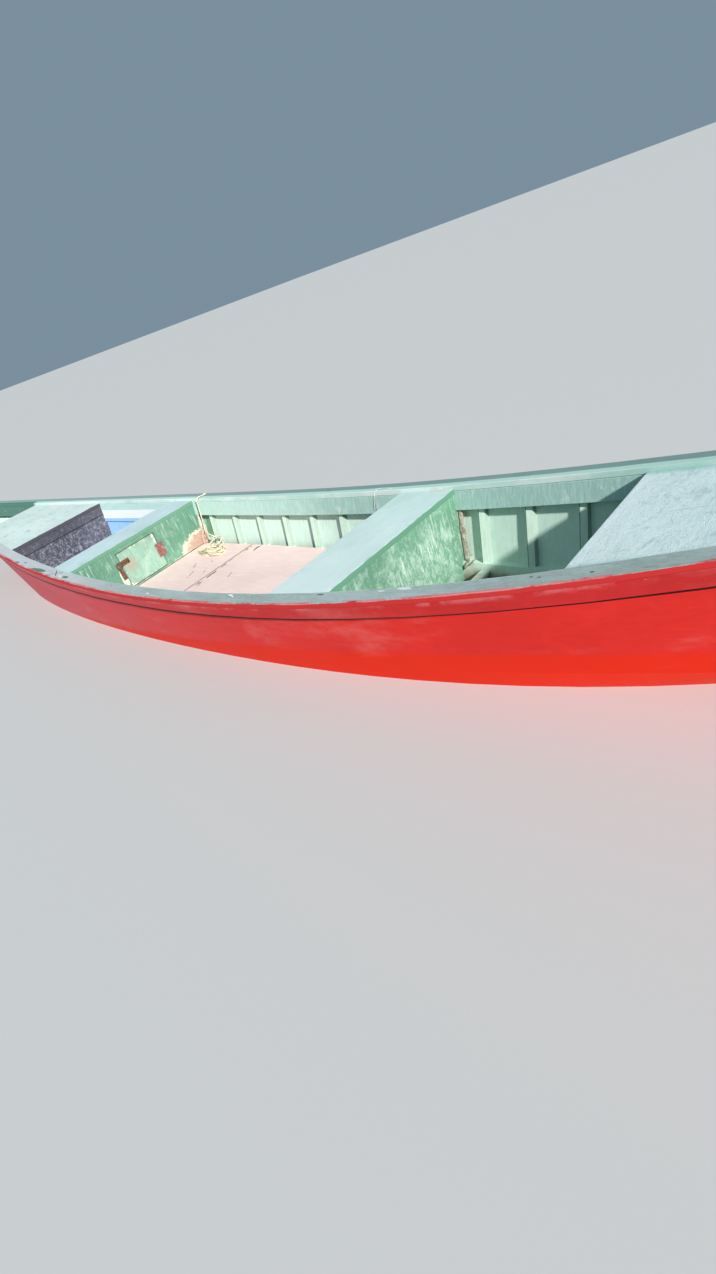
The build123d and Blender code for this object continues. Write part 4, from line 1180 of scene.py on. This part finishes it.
def heads(name, places, radius, rise, finish, body="hull"):
    """One mesh of domed heads; each place is a point on a face and the face's outward direction."""
    shape = bmesh.new()
    for place, outward in places:
        dome = [shape.verts.new((radius * math.cos(a), 0, rise * math.sin(a) - HEAD_SINK))
                for a in HEAD_PROFILE]
        rim = [shape.edges.new(pair) for pair in zip(dome, dome[1:])]
        bmesh.ops.spin(shape, geom=dome + rim, cent=(0, 0, 0), axis=(0, 0, 1), angle=2 * math.pi,
                       steps=HEAD_SIDES, use_merge=True)
        made = [v for v in shape.verts if not v.tag]
        bmesh.ops.remove_doubles(shape, verts=made, dist=1e-5)
        made = [v for v in shape.verts if not v.tag]
        turn = Vector(outward).to_track_quat("Z", "Y").to_matrix().to_4x4()
        bmesh.ops.transform(shape, matrix=Matrix.Translation(place) @ turn, verts=made)
        for corner in shape.verts:
            corner.tag = True
    bmesh.ops.recalc_face_normals(shape, faces=shape.faces)
    make_piece(name, shape, finish, body)


def touch(start, direction):
    """Where a ray meets the boat, and the surface's direction there, or None if it meets nothing."""
    graph = bpy.context.evaluated_depsgraph_get()
    found, place, outward, *_ = scene.ray_cast(graph, Vector(start), Vector(direction))
    return (place, outward) if found else None


def spread(low, high, count):
    """Numbers at equal steps, with both ends."""
    return [low + (high - low) * i / (count - 1) for i in range(count)]


bpy.context.view_layer.update()
FROM_BOW, FROM_ABOVE = (-1, 0, 0), (0, 0, -1)
IRON_RAY_X = -0.5                        # before the locker's front
RAY_START = 2.0                          # above or beside the boat
LEAF_SCREWS = (0.246, 0.278, 0.310)      # heights on the hinge
PLATE_SCREWS = (0.238, 0.298)            # heights on the staple's plate
CAP_NAIL_INSETS = (0.030, 0.066)
STRAKE_NAIL_DEPTH = 0.060
wall_screws = [touch((IRON_RAY_X, 0.153, z), FROM_BOW) for z in LEAF_SCREWS]
plate_screws = [touch((IRON_RAY_X, -0.212, z), FROM_BOW) for z in PLATE_SCREWS]
door_screws = [touch((IRON_RAY_X, 0.112, z), FROM_BOW) for z in LEAF_SCREWS]
heads("hinge_screws_bulkhead", wall_screws, 0.0042, 0.0016, hinge_rust)
heads("staple_plate_screws", plate_screws, 0.0040, 0.0016, hasp_rust)
heads("hinge_screws_door", door_screws, 0.0042, 0.0016, hinge_rust, "door")
cap_nails = [touch((x, side * (sheer(x)[0] - inset), RAY_START), FROM_ABOVE)
             for side in (-1, 1) for x in spread(-3.6, 3.6, 15) for inset in CAP_NAIL_INSETS]
heads("gunwale_nails", cap_nails, 0.0048, 0.0012, cap_green)
strake_nails = [touch((x, side * RAY_START, sheer(x)[1] - STRAKE_NAIL_DEPTH), (0, -side, 0))
                for side in (-1, 1) for x in spread(-3.9, 3.9, 27)]
heads("strake_nails", strake_nails, 0.0045, 0.0011, strake_red)
# columns: name, finish, the x of each row of nails, half of the row's width, nails in a row
DECK_NAILS = [("foredeck", foredeck_mint, (2.612, 3.20), (0.36, 0.26), 6),
              ("thwart", thwart_mint, (1.270, 1.598), (0.48, 0.45), 7),
              ("locker", locker_mint, (-1.065, -0.828), (0.50, 0.50), 7),
              ("platform", platform_mint, (-2.98, -2.50, -2.078), (0.26, 0.32, 0.38), 5)]
for name, finish, rows, halves, count in DECK_NAILS:
    nails = [touch((x, y, RAY_START), FROM_ABOVE)
             for x, half in zip(rows, halves) for y in spread(-half, half, count)]
    heads(f"{name}_nails", nails, 0.0045, 0.0011, finish)
print("heads", len(wall_screws + plate_screws + door_screws + cap_nails + strake_nails))

# %% [markdown]
# ## Ends of twine
# Two ends of white twine are left on the gunwales: one curls up from the near cap, and one comes up the far
# inwale and lies over its edge. They are short free cords, so each has its own spline and length.

# %% Ends of twine
TWINE = 0.003                            # its diameter
near_top = sheer(1.033)[1] + TWINE / 2   # height of its middle where it lies on a cap
far_top = sheer(1.05)[1] + TWINE / 2
# columns: name, points from the end that is caught under paint
TWINES = [("twine_near", [(1.020, -0.5600, near_top), (1.026, -0.5640, near_top),
                          (1.033, -0.5690, near_top + 0.004), (1.042, -0.5770, near_top + 0.012),
                          (1.056, -0.5830, near_top + 0.016), (1.068, -0.5800, near_top + 0.010),
                          (1.074, -0.5730, near_top + 0.001)]),
          ("twine_far", [(1.036, 0.5145, 0.398), (1.037, 0.5225, 0.430), (1.040, 0.5305, 0.462),
                         (1.048, 0.5400, 0.488), (1.064, 0.5500, far_top + 0.008),
                         (1.090, 0.5560, far_top + 0.009), (1.125, 0.5600, far_top + 0.007),
                         (1.160, 0.5580, far_top + 0.005)])]
twine_fibre = fibre("twine fibre", (0.74, 0.74, 0.68), (0.92, 0.92, 0.88))
for name, points in TWINES:
    data = nurbs(name, points)
    data.resolution_u = 8
    long = line_length(data)
    data.bevel_depth = TWINE / 2
    data.bevel_resolution = 3
    data.use_fill_caps = True
    data.materials.append(twine_fibre)
    twine = add_object(name, data)
    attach(twine, "hull")
    print(name, round(long, 3), "m")

# %% [markdown]
# ## Floor at the waterline and light
# The boat is shown afloat: the pale floor lies at its waterline. The floor may not show inside the hull, so
# it has a hole whose edge runs just inside the planking. The edge is found by rays shot inwards at that
# height. A sun stands where the real one stood, and a light blue world fills the shadows, as a clear sky
# does.

# %% Floor with a hole for the hull
FLOOR_HALF = 400.0
FLOOR_TONE = (0.60, 0.60, 0.59)
HOLE_STEPS = 90
HOLE_INSET = 0.006
HOLE_LEAST = 0.001                       # half width of the hole where the hull is narrower than its inset
HOLE_LOW_X, HOLE_HIGH_X = -3.10, 3.26
bpy.context.view_layer.update()


def hull_half_width(x):
    """Half width of the hull's outside at the waterline, or None off its ends."""
    hit = touch((x, -RAY_START, WATERLINE), (0, 1, 0))
    return -hit[0].y if hit and hit[0].y < 0 else None


def make_floor(finish):
    """A wide flat sheet with a hole in it, filled between its square rim and the hole's edge."""
    widths = [(x, hull_half_width(x)) for x in spread(HOLE_LOW_X, HOLE_HIGH_X, HOLE_STEPS + 1)]
    edge = [(x, max(w - HOLE_INSET, HOLE_LEAST)) for x, w in widths if w]
    print("floor hole from", round(edge[0][0], 3), "to", round(edge[-1][0], 3))
    shape = bmesh.new()
    rim = [(x, -w) for x, w in edge] + [(x, w) for x, w in reversed(edge)]
    outer = [(-FLOOR_HALF, -FLOOR_HALF), (FLOOR_HALF, -FLOOR_HALF), (FLOOR_HALF, FLOOR_HALF),
             (-FLOOR_HALF, FLOOR_HALF)]
    for loop in (rim, outer):
        corners = [shape.verts.new((x, y, WATERLINE)) for x, y in loop]
        for a, b in zip(corners, corners[1:] + corners[:1]):
            shape.edges.new((a, b))
    bmesh.ops.triangle_fill(shape, use_beauty=True, use_dissolve=False, edges=shape.edges, normal=(0, 0, 1))
    mesh = bpy.data.meshes.new("floor")
    shape.to_mesh(mesh)
    shape.free()
    floor = add_object("floor", mesh)
    mesh.materials.append(finish)


make_floor(Finish("studio floor").done(FLOOR_TONE, 0.9, specular=0.1))

# %% Light
SUN_TO = Vector((0.806, -0.355, 0.474))
SUN_ENERGY = 5.1
SUN_ANGLE = math.radians(2.5)
SUN_COLOUR = (1.0, 0.98, 0.95)
SKY_COLOUR = (0.58, 0.81, 1.0, 1)
SKY_STRENGTH = 0.34
key = add_object("key", bpy.data.lights.new("key", "SUN"))
key.data.energy = SUN_ENERGY
key.data.angle = SUN_ANGLE
key.data.color = SUN_COLOUR
key.rotation_mode = "QUATERNION"
key.rotation_quaternion = SUN_TO.to_track_quat("Z", "Y")
world = bpy.data.worlds.new("studio")
world.use_nodes = True
sky = world.node_tree.nodes["Background"].inputs
sky["Color"].default_value = SKY_COLOUR
sky["Strength"].default_value = SKY_STRENGTH
scene.world = world
scene.view_settings.view_transform = "Standard"
